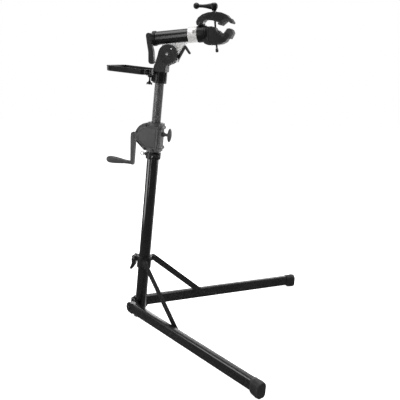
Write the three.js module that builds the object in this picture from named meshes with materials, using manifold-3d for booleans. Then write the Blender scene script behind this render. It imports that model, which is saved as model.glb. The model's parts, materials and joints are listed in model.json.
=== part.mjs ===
// Bicycle repair stand with a fold-up two-leg base, a crank lifted mast and a rotating screw clamp.
// Millimetres, +Z up, +X the way the clamp points, origin on the floor where the mast's axis meets it.
import * as THREE from 'three';
import { mergeVertices } from 'three/addons/utils/BufferGeometryUtils.js';
import Module from 'manifold-3d';

const wasm = await Module();
wasm.setup();
const { Manifold, Mesh: SolidMesh } = wasm;

// ---------------------------------------------------------------- driving dimensions
const rad = THREE.MathUtils.degToRad;
const GAP = 0.3;                 // clearance between separate pieces

const LEAN = rad(6.2);           // mast leans forward from the vertical
const MAST_R = 25.4;             // 2 inch lower tube
const MAST_WALL = 2;
const MAST_BOTTOM = 34.3;
const MAST_TOP = 784;
const UPPER_R = 19;              // 38 mm fluted upper tube
const UPPER_BORE = 15;
const UPPER_BOTTOM = 318;
const UPPER_TOP = 1118;
const FLUTES = 20;
const BUSH_IN = UPPER_R + GAP;
const BUSH_OUT = MAST_R - MAST_WALL - GAP;

const LEG_SPREAD = rad(37.16);   // each leg's angle in plan from straight ahead
const LEG_PLANE = 46;            // leg's centre plane from the mast's axis
const LEG_WIDE = 30;
const LEG_TALL = 48;
const LEG_CORNER = 9;
const LEG_RISE = rad(3.6);       // leg's angle above the mast's square plane
const LEG_REACH = 842;           // pivot to the boot's end
const LEG_PIVOT_UP = 50;
const BOOT_LONG = 46;

const STRUT_WIDE = 27;
const STRUT_THICK = 4;
const STRUT_IN = 26.3;           // strut's inner face from the mast's axis plane
const STRUT_TOP_OUT = 50;        // strut's top pivot ahead of the mast's axis
const STRUT_TOP_UP = 274;
const STRUT_FOOT = 326;          // strut's foot pivot along the leg
const COLLAR_LOW = 239;
const COLLAR_HIGH = 292;
const CAM_BACK = -46;            // collar's cam pin behind the mast's axis
const CAM_UP = COLLAR_HIGH - 15;

const CASE_LOW = 770;
const CASE_HIGH = 892;
const DRIVE_UP = 829;            // height of the crank's axis along the mast
const TOOTH = 2.5;               // rack and pinion module
const BEVEL_TOOTH = 4;
const RACK_PITCH_LINE = 16.6;    // behind the mast's axis
const PINION_TEETH = 10;
const PINION_R = TOOTH * PINION_TEETH / 2;
const DRIVE_BACK = RACK_PITCH_LINE + PINION_R;
const CROWN_TEETH = 20;
const BEVEL_TEETH = 12;
const CROWN_R = BEVEL_TOOTH * CROWN_TEETH / 2;
const BEVEL_R = BEVEL_TOOTH * BEVEL_TEETH / 2;
const BEVEL_FACE = 5;
const CASE_HALF = 33;
const CRANK_SWING = 124;

const TILT_OUT = 31;             // tilt axis ahead of the mast's axis
const TILT_UP = 1176;
const ARM_RISE = rad(10.75);     // arm's angle above the mast's square plane
const ARM_OFF = 68.4;            // arm's axis above the tilt axis
const SLEEVE_R = 27;
const SLEEVE_BACK = -47;
const RING_R = 31;
const RING_BACK = 91;
const RING_FRONT = 128;
const HEAD_R = 33;
const HEAD_FRONT = 168;
const SCREW_OUT = 201;           // clamp screw ahead of the tilt axis
const HINGE_OUT = 143;
const HINGE_UP = 104;            // in the jaws' frame
const JAW_HALF = 24;
const JAW_LIFT = 3;              // the jaws' frame above the arm's

// ---------------------------------------------------------------- materials
function paint(color, roughness, metalness) {
  return new THREE.MeshStandardMaterial({ color, roughness, metalness });
}

const GLOSS_BLACK = paint(0x0c0c0d, 0.22, 0.1);
const SATIN_BLACK = paint(0x17171a, 0.45, 0.1);
const CAST_BLACK = paint(0x1c1c1e, 0.5, 0.1);
const CAST_GREY = paint(0x3a3a3c, 0.55, 0.15);
const ANODISED = paint(0x4a4a4c, 0.4, 0.6);
const PLASTIC = paint(0x1e1e20, 0.5, 0);
const GRIP_GREY = paint(0x39393b, 0.6, 0);
const RUBBER = paint(0x161616, 0.85, 0);
const PAD_RUBBER = paint(0x2b2b2d, 0.8, 0);
const RAW_ALUMINIUM = paint(0xc9c6be, 0.4, 0.9);
const STEEL = paint(0xb9b9bb, 0.3, 0.9);
const NYLON = paint(0x26262a, 0.6, 0);

// ---------------------------------------------------------------- solids
// A closed triangle mesh with merged corners, no empty triangles and its faces pointing out.
function tidyMesh(geometry) {
  const bare = geometry.clone();
  bare.deleteAttribute('normal');
  bare.deleteAttribute('uv');
  const merged = mergeVertices(bare, 1e-4);
  const points = merged.attributes.position.array;
  const corners = merged.index.array;
  const kept = [];
  let volume = 0;
  const [a, b, c] = [new THREE.Vector3(), new THREE.Vector3(), new THREE.Vector3()];
  for (let i = 0; i < corners.length; i += 3) {
    const [u, v, w] = [corners[i], corners[i + 1], corners[i + 2]];
    if (u === v || v === w || w === u) continue;
    kept.push(u, v, w);
    a.fromArray(points, 3 * u);
    b.fromArray(points, 3 * v);
    c.fromArray(points, 3 * w);
    volume += a.dot(b.cross(c));
  }
  if (volume < 0) kept.reverse();
  return { points, corners: kept };
}

function solid(geometry) {
  const { points, corners } = tidyMesh(geometry);
  return new Manifold(new SolidMesh({
    numProp: 3,
    vertProperties: Float32Array.from(points),
    triVerts: Uint32Array.from(corners),
  }));
}

function join(first, ...others) {
  return others.reduce((sum, geometry) => sum.add(solid(geometry)), solid(first));
}

function cut(body, ...tools) {
  const start = body instanceof THREE.BufferGeometry ? solid(body) : body;
  return tools.reduce((left, tool) => left.subtract(solid(tool)), start);
}

function common(first, second) {
  return solid(first).intersect(solid(second));
}

function surface(shape) {
  const geometry = new THREE.BufferGeometry();
  if (shape instanceof THREE.BufferGeometry) {
    const { points, corners } = tidyMesh(shape);
    geometry.setAttribute('position', new THREE.Float32BufferAttribute(points, 3));
    geometry.setIndex(corners);
  } else {
    const mesh = shape.getMesh();
    geometry.setAttribute('position', new THREE.Float32BufferAttribute(mesh.vertProperties, 3));
    geometry.setIndex(Array.from(mesh.triVerts));
  }
  geometry.computeVertexNormals();
  return geometry;
}

function piece(parent, name, shape, material) {
  const mesh = new THREE.Mesh(surface(shape), material);
  mesh.name = name;
  parent.add(mesh);
  return mesh;
}

// ---------------------------------------------------------------- basic forms
const SIDES = 16;

function rod(radius, from, to, sides = SIDES) {
  const geometry = new THREE.CylinderGeometry(radius, radius, to - from, sides);
  return geometry.rotateX(Math.PI / 2).translate(0, 0, (from + to) / 2);
}

function alongX(geometry) {
  return geometry.rotateY(Math.PI / 2);
}

function alongY(geometry) {
  return geometry.rotateX(-Math.PI / 2);
}

// A profile of [radius, height] pairs turned about Z.
function turned(profile, sides = SIDES) {
  const points = profile.map(([radius, height]) => new THREE.Vector2(radius, height));
  return new THREE.LatheGeometry(points, sides).rotateX(Math.PI / 2);
}

function ring(outer, inner, from, to, sides = SIDES) {
  return turned([[inner, from], [outer, from], [outer, to], [inner, to], [inner, from]], sides);
}

function block(x0, x1, y0, y1, z0, z1) {
  const geometry = new THREE.BoxGeometry(x1 - x0, y1 - y0, z1 - z0);
  return geometry.translate((x0 + x1) / 2, (y0 + y1) / 2, (z0 + z1) / 2);
}

function outline(points) {
  return new THREE.Shape(points.map(([x, y]) => new THREE.Vector2(x, y)));
}

function slab(shape, depth, steps = 6) {
  return new THREE.ExtrudeGeometry(shape, { depth, bevelEnabled: false, curveSegments: steps });
}

// An outline in the X-Y plane raised from z0 to z1.
function slabZ(shape, z0, z1, steps) {
  return slab(shape, z1 - z0, steps).translate(0, 0, z0);
}

// An outline in the X-Z plane, thick from y0 to y1.
function slabY(shape, y0, y1, steps) {
  return slab(shape, y1 - y0, steps).rotateX(Math.PI / 2).translate(0, y1, 0);
}

// An outline in the Y-Z plane, thick from x0 to x1.
function slabX(shape, x0, x1, steps) {
  const turn = new THREE.Matrix4().makeBasis(
    new THREE.Vector3(0, 1, 0),
    new THREE.Vector3(0, 0, 1),
    new THREE.Vector3(1, 0, 0),
  );
  return slab(shape, x1 - x0, steps).applyMatrix4(turn).translate(x0, 0, 0);
}

// Two circles and the straight sides that join them.
function capsule(x0, y0, r0, x1, y1, r1) {
  const along = Math.atan2(y1 - y0, x1 - x0);
  const lean = Math.acos((r0 - r1) / Math.hypot(x1 - x0, y1 - y0));
  const shape = new THREE.Shape();
  shape.absarc(x0, y0, r0, along + lean, along - lean + 2 * Math.PI, false);
  shape.absarc(x1, y1, r1, along - lean, along + lean, false);
  shape.closePath();
  return shape;
}

function roundedBox(wide, tall, corner) {
  const x = wide / 2 - corner;
  const y = tall / 2 - corner;
  const shape = new THREE.Shape();
  shape.absarc(x, y, corner, 0, Math.PI / 2, false);
  shape.absarc(-x, y, corner, Math.PI / 2, Math.PI, false);
  shape.absarc(-x, -y, corner, Math.PI, 1.5 * Math.PI, false);
  shape.absarc(x, -y, corner, 1.5 * Math.PI, 2 * Math.PI, false);
  shape.closePath();
  return shape;
}

function disc(x, y, radius) {
  return new THREE.Shape().absarc(x, y, radius, 0, 2 * Math.PI, false);
}

// A skin over rings of equally many points, closed at both ends by a middle point.
function loft(rings, startPoint, endPoint) {
  const positions = [...rings.flat(2), ...startPoint, ...endPoint];
  const around = rings[0].length;
  const start = rings.length * around;
  const index = [];
  for (let i = 0; i < around; i += 1) {
    const j = (i + 1) % around;
    for (let k = 0; k + 1 < rings.length; k += 1) {
      const low = k * around;
      const high = low + around;
      index.push(low + i, low + j, high + j, low + i, high + j, high + i);
    }
    const last = start - around;
    index.push(start, j, i, start + 1, last + i, last + j);
  }
  const geometry = new THREE.BufferGeometry();
  geometry.setAttribute('position', new THREE.Float32BufferAttribute(positions, 3));
  geometry.setIndex(index);
  return geometry;
}

// ---------------------------------------------------------------- frames
const stand = new THREE.Group();

function frame(parent, { x = 0, y = 0, z = 0, rx = 0, ry = 0, rz = 0 }) {
  const group = new THREE.Group();
  group.position.set(x, y, z);
  group.rotation.set(rx, ry, rz);
  parent.add(group);
  return group;
}

const mast = frame(stand, { ry: LEAN });
const arm = frame(mast, { x: TILT_OUT, z: TILT_UP, ry: -ARM_RISE });
const jaws = frame(arm, { z: JAW_LIFT });

// The space under the floor, as seen from inside a group.
function underFloor(group) {
  stand.updateMatrixWorld(true);
  const deep = block(-2000, 2000, -2000, 2000, -500, 0);
  return deep.applyMatrix4(group.matrixWorld.clone().invert());
}

// ---------------------------------------------------------------- mast foot
function sidePoint(side, along, off) {
  const x = along * Math.cos(LEG_SPREAD) - off * Math.sin(LEG_SPREAD);
  const y = along * Math.sin(LEG_SPREAD) + off * Math.cos(LEG_SPREAD);
  return [x, side * y];
}

function sideBore(side, radius, along, up, from, to) {
  const bore = alongY(rod(radius, side * from, side * to, 12));
  return bore.translate(along, 0, up).rotateZ(side * LEG_SPREAD);
}

function buildMastFoot() {
  const plateIn = 26.5;
  const plateOut = 30.5;
  const plateFront = 44;
  const apexBack = -46.5;
  const plateLow = 28;
  const plateHigh = 78;
  const floorTop = 34;
  const innerApex = -plateIn * Math.cos(LEG_SPREAD) / Math.sin(LEG_SPREAD);
  const outerBack = (apexBack + plateOut * Math.sin(LEG_SPREAD)) / Math.cos(LEG_SPREAD);
  const vee = outline([
    sidePoint(1, outerBack, plateOut),
    sidePoint(-1, outerBack, plateOut),
    sidePoint(-1, plateFront, plateOut),
    sidePoint(-1, plateFront, plateIn),
    sidePoint(-1, innerApex, plateIn),
    sidePoint(1, plateFront, plateIn),
    sidePoint(1, plateFront, plateOut),
  ]);
  const floor = outline([
    sidePoint(1, outerBack, plateOut - 1),
    sidePoint(-1, outerBack, plateOut - 1),
    sidePoint(-1, plateFront, plateOut - 1),
    sidePoint(1, plateFront, plateOut - 1),
  ]);
  const walls = join(slabZ(vee, plateLow, plateHigh), slabZ(floor, plateLow, floorTop));
  const slope = outline([[-20, plateHigh + 1], [60, plateHigh + 1], [60, plateHigh - 22]]);
  const bores = [1, -1].map((side) => sideBore(side, 5.3, 0, LEG_PIVOT_UP, 24, 32));
  piece(mast, 'base_bracket', cut(walls, slabY(slope, -70, 70), ...bores), SATIN_BLACK);

  const sole = turned([[0, -10], [26, -10], [27, 4], [24, plateLow - GAP], [0, plateLow - GAP]]);
  piece(mast, 'base_foot', cut(sole, underFloor(mast)), RUBBER);

  for (const [side, word] of [[1, 'left'], [-1, 'right']]) {
    const inner = plateIn - 0.7;
    const headFrom = LEG_PLANE + LEG_WIDE / 2 + GAP;
    const profile = [[0, inner], [5, inner], [5, headFrom], [9, headFrom], [8, headFrom + 5]];
    const bolt = alongY(turned([...profile, [0, headFrom + 5]], 16));
    if (side < 0) bolt.rotateZ(Math.PI);
    bolt.translate(0, 0, LEG_PIVOT_UP).rotateZ(side * LEG_SPREAD);
    piece(mast, `pivot_bolt_${word}`, bolt, SATIN_BLACK);
  }
}

function buildLowerMast() {
  const tube = ring(MAST_R, MAST_R - MAST_WALL, MAST_BOTTOM, MAST_TOP, 32);
  const pinHole = alongX(rod(3.9, -30, -15, 16)).translate(0, 0, 753);
  piece(mast, 'lower_mast_tube', cut(tube, pinHole), GLOSS_BLACK);
  piece(mast, 'guide_bush', ring(BUSH_OUT, BUSH_IN, 740, MAST_TOP, 28), NYLON);
}

// ---------------------------------------------------------------- legs
function legSection(wide, tall, corner, x, drop = 0) {
  const points = roundedBox(wide, tall, corner).getPoints(4).slice(0, -1);
  return points.map((point) => [x, point.x, point.y - drop]);
}

function buildLeg(side, word) {
  const sideFrame = frame(mast, { rz: side * LEG_SPREAD });
  const leg = frame(sideFrame, { y: side * LEG_PLANE, z: LEG_PIVOT_UP, ry: -LEG_RISE });
  const heelFront = 22;
  const half = LEG_WIDE / 2;
  const wall = 2;
  const bootBack = LEG_REACH - BOOT_LONG;
  const tubeEnd = LEG_REACH - 12;

  const heelShape = new THREE.Shape();
  heelShape.absarc(0, 0, LEG_TALL / 2, Math.PI / 2, 1.5 * Math.PI, false);
  heelShape.lineTo(heelFront, -LEG_TALL / 2);
  heelShape.lineTo(heelFront, LEG_TALL / 2);
  const spigot = roundedBox(LEG_WIDE - 2 * wall - 0.6, LEG_TALL - 2 * wall - 0.6, LEG_CORNER - wall);
  const heel = join(
    slabY(heelShape, -half, half, 7),
    slabX(spigot, heelFront - 4, heelFront + 26, 3),
  );
  const pivotBore = alongY(rod(5.3, -half - 1, half + 1, 16));
  piece(leg, `leg_heel_${word}`, cut(heel, pivotBore), CAST_BLACK);

  const outer = slabX(roundedBox(LEG_WIDE, LEG_TALL, LEG_CORNER), heelFront + GAP, tubeEnd, 3);
  const innerShape = roundedBox(LEG_WIDE - 2 * wall, LEG_TALL - 2 * wall, LEG_CORNER - wall);
  const inner = slabX(innerShape, 0, LEG_REACH, 3);
  const boltBore = alongY(rod(4.3, -half - 1, half + 1, 12)).translate(STRUT_FOOT, 0, 0);
  piece(leg, `leg_tube_${word}`, cut(outer, inner, boltBore), SATIN_BLACK);

  const headAt = half + GAP;
  const boltProfile = [[0, -half], [4, -half], [4, headAt], [6.5, headAt], [5.5, headAt + 3]];
  const bolt = alongY(turned([...boltProfile, [0, headAt + 3]], 12));
  if (side < 0) bolt.rotateZ(Math.PI);
  piece(leg, `leg_bolt_${word}`, bolt.translate(STRUT_FOOT, 0, 0), SATIN_BLACK);

  const bootRings = [
    legSection(35, 52, 11, bootBack),
    legSection(39, 60, 16, bootBack + 10, 4),
    legSection(41, 64, 19, LEG_REACH - 7, 5),
    legSection(37, 60, 18, LEG_REACH, 5),
  ];
  const socket = roundedBox(LEG_WIDE + 0.6, LEG_TALL + 0.6, LEG_CORNER);
  const cavity = slabX(socket, bootBack - 1, tubeEnd + GAP, 3);
  const boot = loft(bootRings, [bootBack, 0, 0], [LEG_REACH, 0, -5]);
  piece(leg, `leg_boot_${word}`, cut(boot, cavity, underFloor(leg)), RUBBER);
}

// ---------------------------------------------------------------- sliding collar and struts
const STRUT_FOOT_OUT = STRUT_FOOT * Math.cos(LEG_RISE);
const STRUT_FOOT_UP = LEG_PIVOT_UP + STRUT_FOOT * Math.sin(LEG_RISE);

function buildCollar() {
  const bodyR = 31.5;
  const bore = MAST_R + 0.4;
  const lugIn = 19;
  const lugOut = 26;
  const body = ring(bodyR, bore, COLLAR_LOW, COLLAR_HIGH, 28);
  const band = ring(bodyR + 2, bore, COLLAR_HIGH - 9, COLLAR_HIGH, 28);
  const lugs = [1, -1].map((side) => {
    const lug = capsule(22, STRUT_TOP_UP - 6, 17, STRUT_TOP_OUT, STRUT_TOP_UP, 12);
    const plate = side > 0 ? slabY(lug, lugIn, lugOut) : slabY(lug, -lugOut, -lugIn);
    return plate.rotateZ(side * LEG_SPREAD);
  });
  const earMiddle = 14.5;
  const earHalf = 2.2;
  const ears = [1, -1].map((side) => {
    const [from, to] = [side * earMiddle - earHalf, side * earMiddle + earHalf];
    return block(CAM_BACK - 8, -24, from, to, CAM_UP - 10, COLLAR_HIGH - 3);
  });
  const pinBores = [1, -1].map((side) => {
    return sideBore(side, 5.3, STRUT_TOP_OUT, STRUT_TOP_UP, lugIn - 2, lugOut + 2);
  });
  const camBore = alongY(rod(4.3, -18, 18, 12)).translate(CAM_BACK, 0, CAM_UP);
  const split = block(-60, -20, -1.5, 1.5, COLLAR_LOW - 1, COLLAR_HIGH + 1);
  const mastBore = rod(bore, COLLAR_LOW - 1, COLLAR_HIGH + 1, 28);
  const collar = cut(join(body, band, ...lugs, ...ears), mastBore, camBore, split, ...pinBores);
  piece(mast, 'slide_collar', collar, CAST_BLACK);

  const camBolt = alongY(turned([[0, -20], [7, -20], [7, -17], [4, -17], [4, 18], [0, 18]], 12));
  piece(mast, 'collar_cam_bolt', camBolt.translate(CAM_BACK, 0, CAM_UP), STEEL);

  const leverHalf = 11.8;
  const lever = join(
    slabY(disc(CAM_BACK, CAM_UP, 11), -leverHalf, leverHalf),
    slabY(capsule(CAM_BACK - 2, CAM_UP - 8, 9.5, CAM_BACK - 1, CAM_UP - 32, 8), -leverHalf, leverHalf),
    slabY(capsule(CAM_BACK - 1, CAM_UP - 32, 8, CAM_BACK - 10, CAM_UP - 52, 6), -leverHalf, leverHalf),
  );
  const leverBore = alongY(rod(4.4, -13, 13, 12)).translate(CAM_BACK, 0, CAM_UP);
  piece(mast, 'collar_lever', cut(lever, leverBore), PLASTIC);
}

function buildStrut(side, word) {
  const sideFrame = frame(mast, { rz: side * LEG_SPREAD });
  const half = STRUT_WIDE / 2;
  const bar = capsule(STRUT_TOP_OUT, STRUT_TOP_UP, half, STRUT_FOOT_OUT, STRUT_FOOT_UP, half);
  const from = side > 0 ? STRUT_IN : -STRUT_IN - STRUT_THICK;
  const flat = slabY(bar, from, from + STRUT_THICK);
  const edge = Math.sign(side) * STRUT_IN;
  const bores = [[STRUT_TOP_OUT, STRUT_TOP_UP], [STRUT_FOOT_OUT, STRUT_FOOT_UP]].map(([x, z]) => {
    return alongY(rod(5.3, edge - 6, edge + 6, 12)).translate(x, 0, z);
  });
  piece(sideFrame, `strut_${word}`, cut(flat, ...bores), SATIN_BLACK);

  const flush = STRUT_IN + STRUT_THICK + 0.2;
  const topPin = alongY(turned([[0, 15.7], [8, 15.7], [8, 18.7], [5, 18.7], [5, flush], [0, flush]], 12));
  const footPin = alongY(turned([[0, 22.7], [8, 22.7], [8, 26], [5, 26], [5, flush], [0, flush]], 12));
  for (const [pin, name, x, z] of [
    [topPin, 'collar_pin', STRUT_TOP_OUT, STRUT_TOP_UP],
    [footPin, 'strut_pin', STRUT_FOOT_OUT, STRUT_FOOT_UP],
  ]) {
    if (side < 0) pin.rotateZ(Math.PI);
    piece(sideFrame, `${name}_${word}`, pin.translate(x, 0, z), SATIN_BLACK);
  }
}

// ---------------------------------------------------------------- mast clamp ring and lock pin
function buildMastClamp() {
  const low = 737;
  const high = 766;
  const middle = 753;
  const earTurn = rad(-58);
  const ears = block(29, 47, -11, 11, low + 2, high - 4).rotateZ(earTurn);
  const pinBoss = alongX(rod(7.5, -36.5, -28, 16)).translate(0, 0, middle);
  const body = join(ring(32, MAST_R + GAP, low, high, 28), ears, pinBoss);
  const split = block(20, 60, -1.5, 1.5, low - 1, high + 1).rotateZ(earTurn);
  const boltBore = alongY(rod(3.9, -15, 15, 12)).translate(39, 0, middle - 2).rotateZ(earTurn);
  const pinBore = alongX(rod(4.3, -45, -20, 12)).translate(0, 0, middle);
  const mastBore = rod(MAST_R + GAP, low - 1, high + 1, 28);
  piece(mast, 'mast_clamp_ring', cut(body, split, boltBore, pinBore, mastBore), CAST_BLACK);

  const profile = [[0, -17], [6.5, -17], [6.5, -11.3], [3.6, -11.3], [3.6, 14], [0, 14]];
  const clampBolt = alongY(turned(profile, 12)).translate(39, 0, middle - 2).rotateZ(earTurn);
  piece(mast, 'mast_clamp_bolt', clampBolt, STEEL);

  const ringR = 8.4;
  const wire = 1.2;
  const headBack = -45.7;
  const eye = headBack + 4.4;
  const pin = turned([[0, 24.2], [3.5, 24.2], [3.5, 36.9], [5, 36.9], [5, -headBack], [0, -headBack]], 12);
  const pinBody = alongX(pin).rotateZ(Math.PI).translate(0, 0, middle);
  const eyeHole = rod(wire + 2, -8, 8, 16).translate(eye, 0, middle);
  piece(mast, 'lock_pin', cut(pinBody, eyeHole), STEEL);
  const hoop = new THREE.TorusGeometry(ringR, wire, 6, 20).rotateX(Math.PI / 2);
  piece(mast, 'pull_ring', hoop.translate(eye - ringR, 0, middle), STEEL);
}

// ---------------------------------------------------------------- gear case
function caseOutline(inset) {
  const arcX = -22;
  const arcR = 61 - inset;
  const lastTurn = rad(200);
  const shape = new THREE.Shape();
  shape.moveTo(32 - inset, CASE_LOW + 2 + inset);
  shape.lineTo(32 - inset, DRIVE_UP + arcR);
  shape.absarc(arcX, DRIVE_UP, arcR, Math.PI / 2, lastTurn, false);
  shape.lineTo(-36 + inset * 0.3, CASE_LOW + 2 + inset);
  shape.closePath();
  return shape;
}

const CASE_SCREWS = [[-31, 878], [-72, 847], [-69, 806], [-31, 781], [8, 779], [29, 871]];

function caseCavity() {
  const pocket = alongY(rod(46, -29.3, 29.3, 32)).translate(-DRIVE_BACK, 0, DRIVE_UP);
  const wheel = alongX(rod(27.5, -75, -40, 28)).translate(0, 0, DRIVE_UP);
  const crankBore = alongX(rod(7.4, -100, -60, 16)).translate(0, 0, DRIVE_UP);
  const pinionBore = alongY(rod(6.4, -31.4, 31.4, 16)).translate(-DRIVE_BACK, 0, DRIVE_UP);
  const brakeBore = alongX(rod(4.4, 10, 60, 12)).translate(0, 0, 846);
  const slideBore = rod(UPPER_R + 0.5, CASE_LOW, CASE_HIGH + 5, 28);
  const socket = rod(MAST_R + GAP, CASE_LOW - 5, MAST_TOP + GAP, 32);
  return [pocket, wheel, crankBore, pinionBore, brakeBore, slideBore, socket];
}

function buildCaseHalf(side, word) {
  const flank = [24, CASE_HALF].map((y) => side > 0 ? [0.15, y] : [-y, -0.15]);
  const sleeve = rod(32, CASE_LOW, CASE_HIGH, 32);
  const crankBoss = alongX(rod(14, -88, -70, 28)).translate(0, 0, DRIVE_UP);
  const brakeBoss = alongX(rod(10, 26, 42, 16)).translate(0, 0, 846);
  const ears = [874, 788].map((z) => slabY(disc(31, z, 8), ...flank[0], 5));
  const whole = join(
    slabY(caseOutline(0), ...flank[0], 12),
    slabY(caseOutline(12), ...flank[1], 10),
    sleeve,
    crankBoss,
    brakeBoss,
    ...ears,
  );
  const otherHalf = side > 0 ? block(-120, 80, -60, 0.15, 700, 950) : block(-120, 80, -0.15, 60, 700, 950);
  const screwBores = CASE_SCREWS.map(([x, z]) => alongY(rod(3.2, -40, 40, 8)).translate(x, 0, z));
  const shell = cut(whole, otherHalf, ...caseCavity(), ...screwBores);
  piece(mast, `gear_case_${word}`, shell, CAST_GREY);
}

// ---------------------------------------------------------------- gears
// One gear's outline: each tooth is a tip and a root joined by straight flanks.
function toothRing(teeth, root, tip, rootShare, tipShare, phase, place) {
  const points = [];
  const step = 2 * Math.PI / teeth;
  for (let i = 0; i < teeth; i += 1) {
    const middle = phase + i * step;
    points.push(place(root, middle - step * rootShare / 2));
    points.push(place(tip, middle - step * tipShare / 2));
    points.push(place(tip, middle + step * tipShare / 2));
    points.push(place(root, middle + step * rootShare / 2));
  }
  return points;
}

// A bevel gear about Z with its cone's point at the origin and its big end at z = coneLong.
function bevelGear(teeth, pitchR, coneLong, back, phase) {
  const slope = Math.atan2(pitchR, coneLong);
  const reach = Math.hypot(pitchR, coneLong);
  const endRing = (scale) => toothRing(teeth, -1.9, 1.3, 0.62, 0.3, phase, (height, turn) => {
    const r = (pitchR + height * Math.cos(slope)) * scale;
    const z = (coneLong - height * Math.sin(slope)) * scale;
    return [r * Math.cos(turn), r * Math.sin(turn), z];
  });
  const inner = (reach - BEVEL_FACE) / reach;
  return loft([endRing(inner), endRing(1)], [0, 0, coneLong * inner], [0, 0, coneLong + back]);
}

function buildDrive() {
  const phase = Math.PI / PINION_TEETH;
  const place = (r, turn) => [r * Math.cos(turn), r * Math.sin(turn)];
  const wheel = outline(toothRing(PINION_TEETH, PINION_R - 2.5, PINION_R + 1.7, 0.6, 0.2, phase, place));
  const shaft = join(slabY(wheel, -4, 4), alongY(rod(6, -31, 31, 16)));
  const pinion = surface(shaft).translate(-DRIVE_BACK, 0, DRIVE_UP);
  piece(mast, 'pinion_shaft', pinion, STEEL);

  const crownBody = bevelGear(CROWN_TEETH, CROWN_R, BEVEL_R, 4, Math.PI);
  const crown = alongY(surface(cut(crownBody, rod(6.3, 0, 60, 16))));
  piece(mast, 'crown_gear', crown.translate(-DRIVE_BACK, 0, DRIVE_UP), STEEL);

  const bevel = bevelGear(BEVEL_TEETH, BEVEL_R, CROWN_R, 4, Math.PI / 2 + Math.PI / BEVEL_TEETH);
  const spindle = join(bevel, rod(7, CROWN_R, 60.5, 16), rod(6, 60, 72, 16));
  const crankShaft = alongX(surface(spindle)).rotateZ(Math.PI).translate(-DRIVE_BACK, 0, DRIVE_UP);
  piece(mast, 'crank_shaft', crankShaft, STEEL);
}

// ---------------------------------------------------------------- crank
function buildCrank() {
  const low = DRIVE_UP - CRANK_SWING;
  const fromSide = outline([
    [-90, DRIVE_UP + 12],
    [-104, DRIVE_UP + 10],
    [-105, DRIVE_UP - 10],
    [-98, low - 9],
    [-84, low - 9],
    [-85, DRIVE_UP - 40],
    [-90, DRIVE_UP - 14],
  ]);
  const fromBack = capsule(0, DRIVE_UP, 12.5, 0, low, 9);
  const blade = surface(common(slabY(fromSide, -20, 12), slabX(fromBack, -120, -70, 9)));
  const shaftBore = alongX(rod(6.3, -102, -80, 16)).translate(0, 0, DRIVE_UP);
  const gripBore = alongX(rod(4.3, -110, -80, 12)).translate(0, 0, low);
  piece(mast, 'crank_arm', cut(blade, shaftBore, gripBore), CAST_GREY);

  const pin = turned([[0, 84], [4, 84], [4, 205], [0, 205]], 12);
  piece(mast, 'grip_spindle', alongX(pin).rotateZ(Math.PI).translate(0, 0, low), STEEL);

  const profile = [
    [4.5, 99],
    [8, 99],
    [8.5, 118],
    [11, 140],
    [14.5, 168],
    [15.5, 188],
    [14, 202],
    [9, 210.5],
    [0, 212],
    [0, 206],
    [4.5, 206],
    [4.5, 99],
  ];
  const grip = alongX(turned(profile, 18)).rotateZ(Math.PI).translate(0, 0, low);
  piece(mast, 'crank_grip', grip, GRIP_GREY);
}

// ---------------------------------------------------------------- brake knob
function buildBrake() {
  const up = 846;
  const brakeScrew = alongX(rod(4, UPPER_R + 0.9, 54, 12)).translate(0, 0, up);
  piece(mast, 'brake_screw', brakeScrew, STEEL);
  const lens = new THREE.Shape().absellipse(64, up, 8, 29.5, 0, 2 * Math.PI, false);
  const across = new THREE.Shape().absellipse(0, up, 7, 30, 0, 2 * Math.PI, false);
  const wing = common(slabY(lens, -20, 20, 9), slabX(across, 40, 80, 9));
  const stem = alongX(rod(6.5, 44, 62, 12)).translate(0, 0, up);
  const seat = alongX(rod(4.2, 40, 55, 12)).translate(0, 0, up);
  piece(mast, 'brake_knob', cut(join(surface(wing), stem), seat), CAST_GREY);
}

// ---------------------------------------------------------------- upper mast
function flutedOutline() {
  const points = [];
  const step = 2 * Math.PI / FLUTES;
  const groove = 0.7;
  for (let i = 0; i < FLUTES; i += 1) {
    const middle = (i + 0.5) * step;
    for (const [share, depth] of [[-0.5, 0], [-0.25, groove], [0.25, groove]]) {
      const turn = middle + share * step;
      const r = UPPER_R - depth;
      points.push([r * Math.cos(turn), r * Math.sin(turn)]);
    }
  }
  return outline(points);
}

function buildUpperMast() {
  const slotHalf = 4.3;
  const slotFloor = -12.4;
  const whole = slabZ(flutedOutline(), UPPER_BOTTOM, UPPER_TOP);
  const hollow = rod(UPPER_BORE, UPPER_BOTTOM - 1, UPPER_TOP + 1, 32);
  const backWall = block(-9.4, 20, -16, 16, UPPER_BOTTOM - 1, UPPER_TOP + 1);
  const hollowFront = surface(common(hollow, backWall));
  const rackSlot = block(-25, slotFloor, -slotHalf, slotHalf, UPPER_BOTTOM - 1, UPPER_TOP + 1);
  piece(mast, 'upper_mast_tube', cut(whole, hollowFront, rackSlot), ANODISED);

  const pitch = Math.PI * TOOTH;
  const rackLow = DRIVE_UP - 417;
  const teeth = 69;
  const first = DRIVE_UP - Math.round((DRIVE_UP - rackLow) / pitch) * pitch;
  const root = -RACK_PITCH_LINE + 2.5;
  const tip = -RACK_PITCH_LINE - 1.7;
  const points = [[slotFloor - 0.2, first - pitch / 2], [root, first - pitch / 2]];
  for (let i = 0; i < teeth; i += 1) {
    const middle = first + i * pitch;
    points.push([root, middle - pitch * 0.34]);
    points.push([tip, middle - pitch * 0.13]);
    points.push([tip, middle + pitch * 0.13]);
    points.push([root, middle + pitch * 0.34]);
  }
  const last = first + (teeth - 0.5) * pitch;
  points.push([root, last], [slotFloor - 0.2, last]);
  piece(mast, 'mast_rack', slabY(outline(points), -slotHalf + GAP, slotHalf - GAP), STEEL);

  piece(mast, 'slide_bush', ring(BUSH_OUT, BUSH_IN, UPPER_BOTTOM, UPPER_BOTTOM + 20, 28), NYLON);
}

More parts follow.
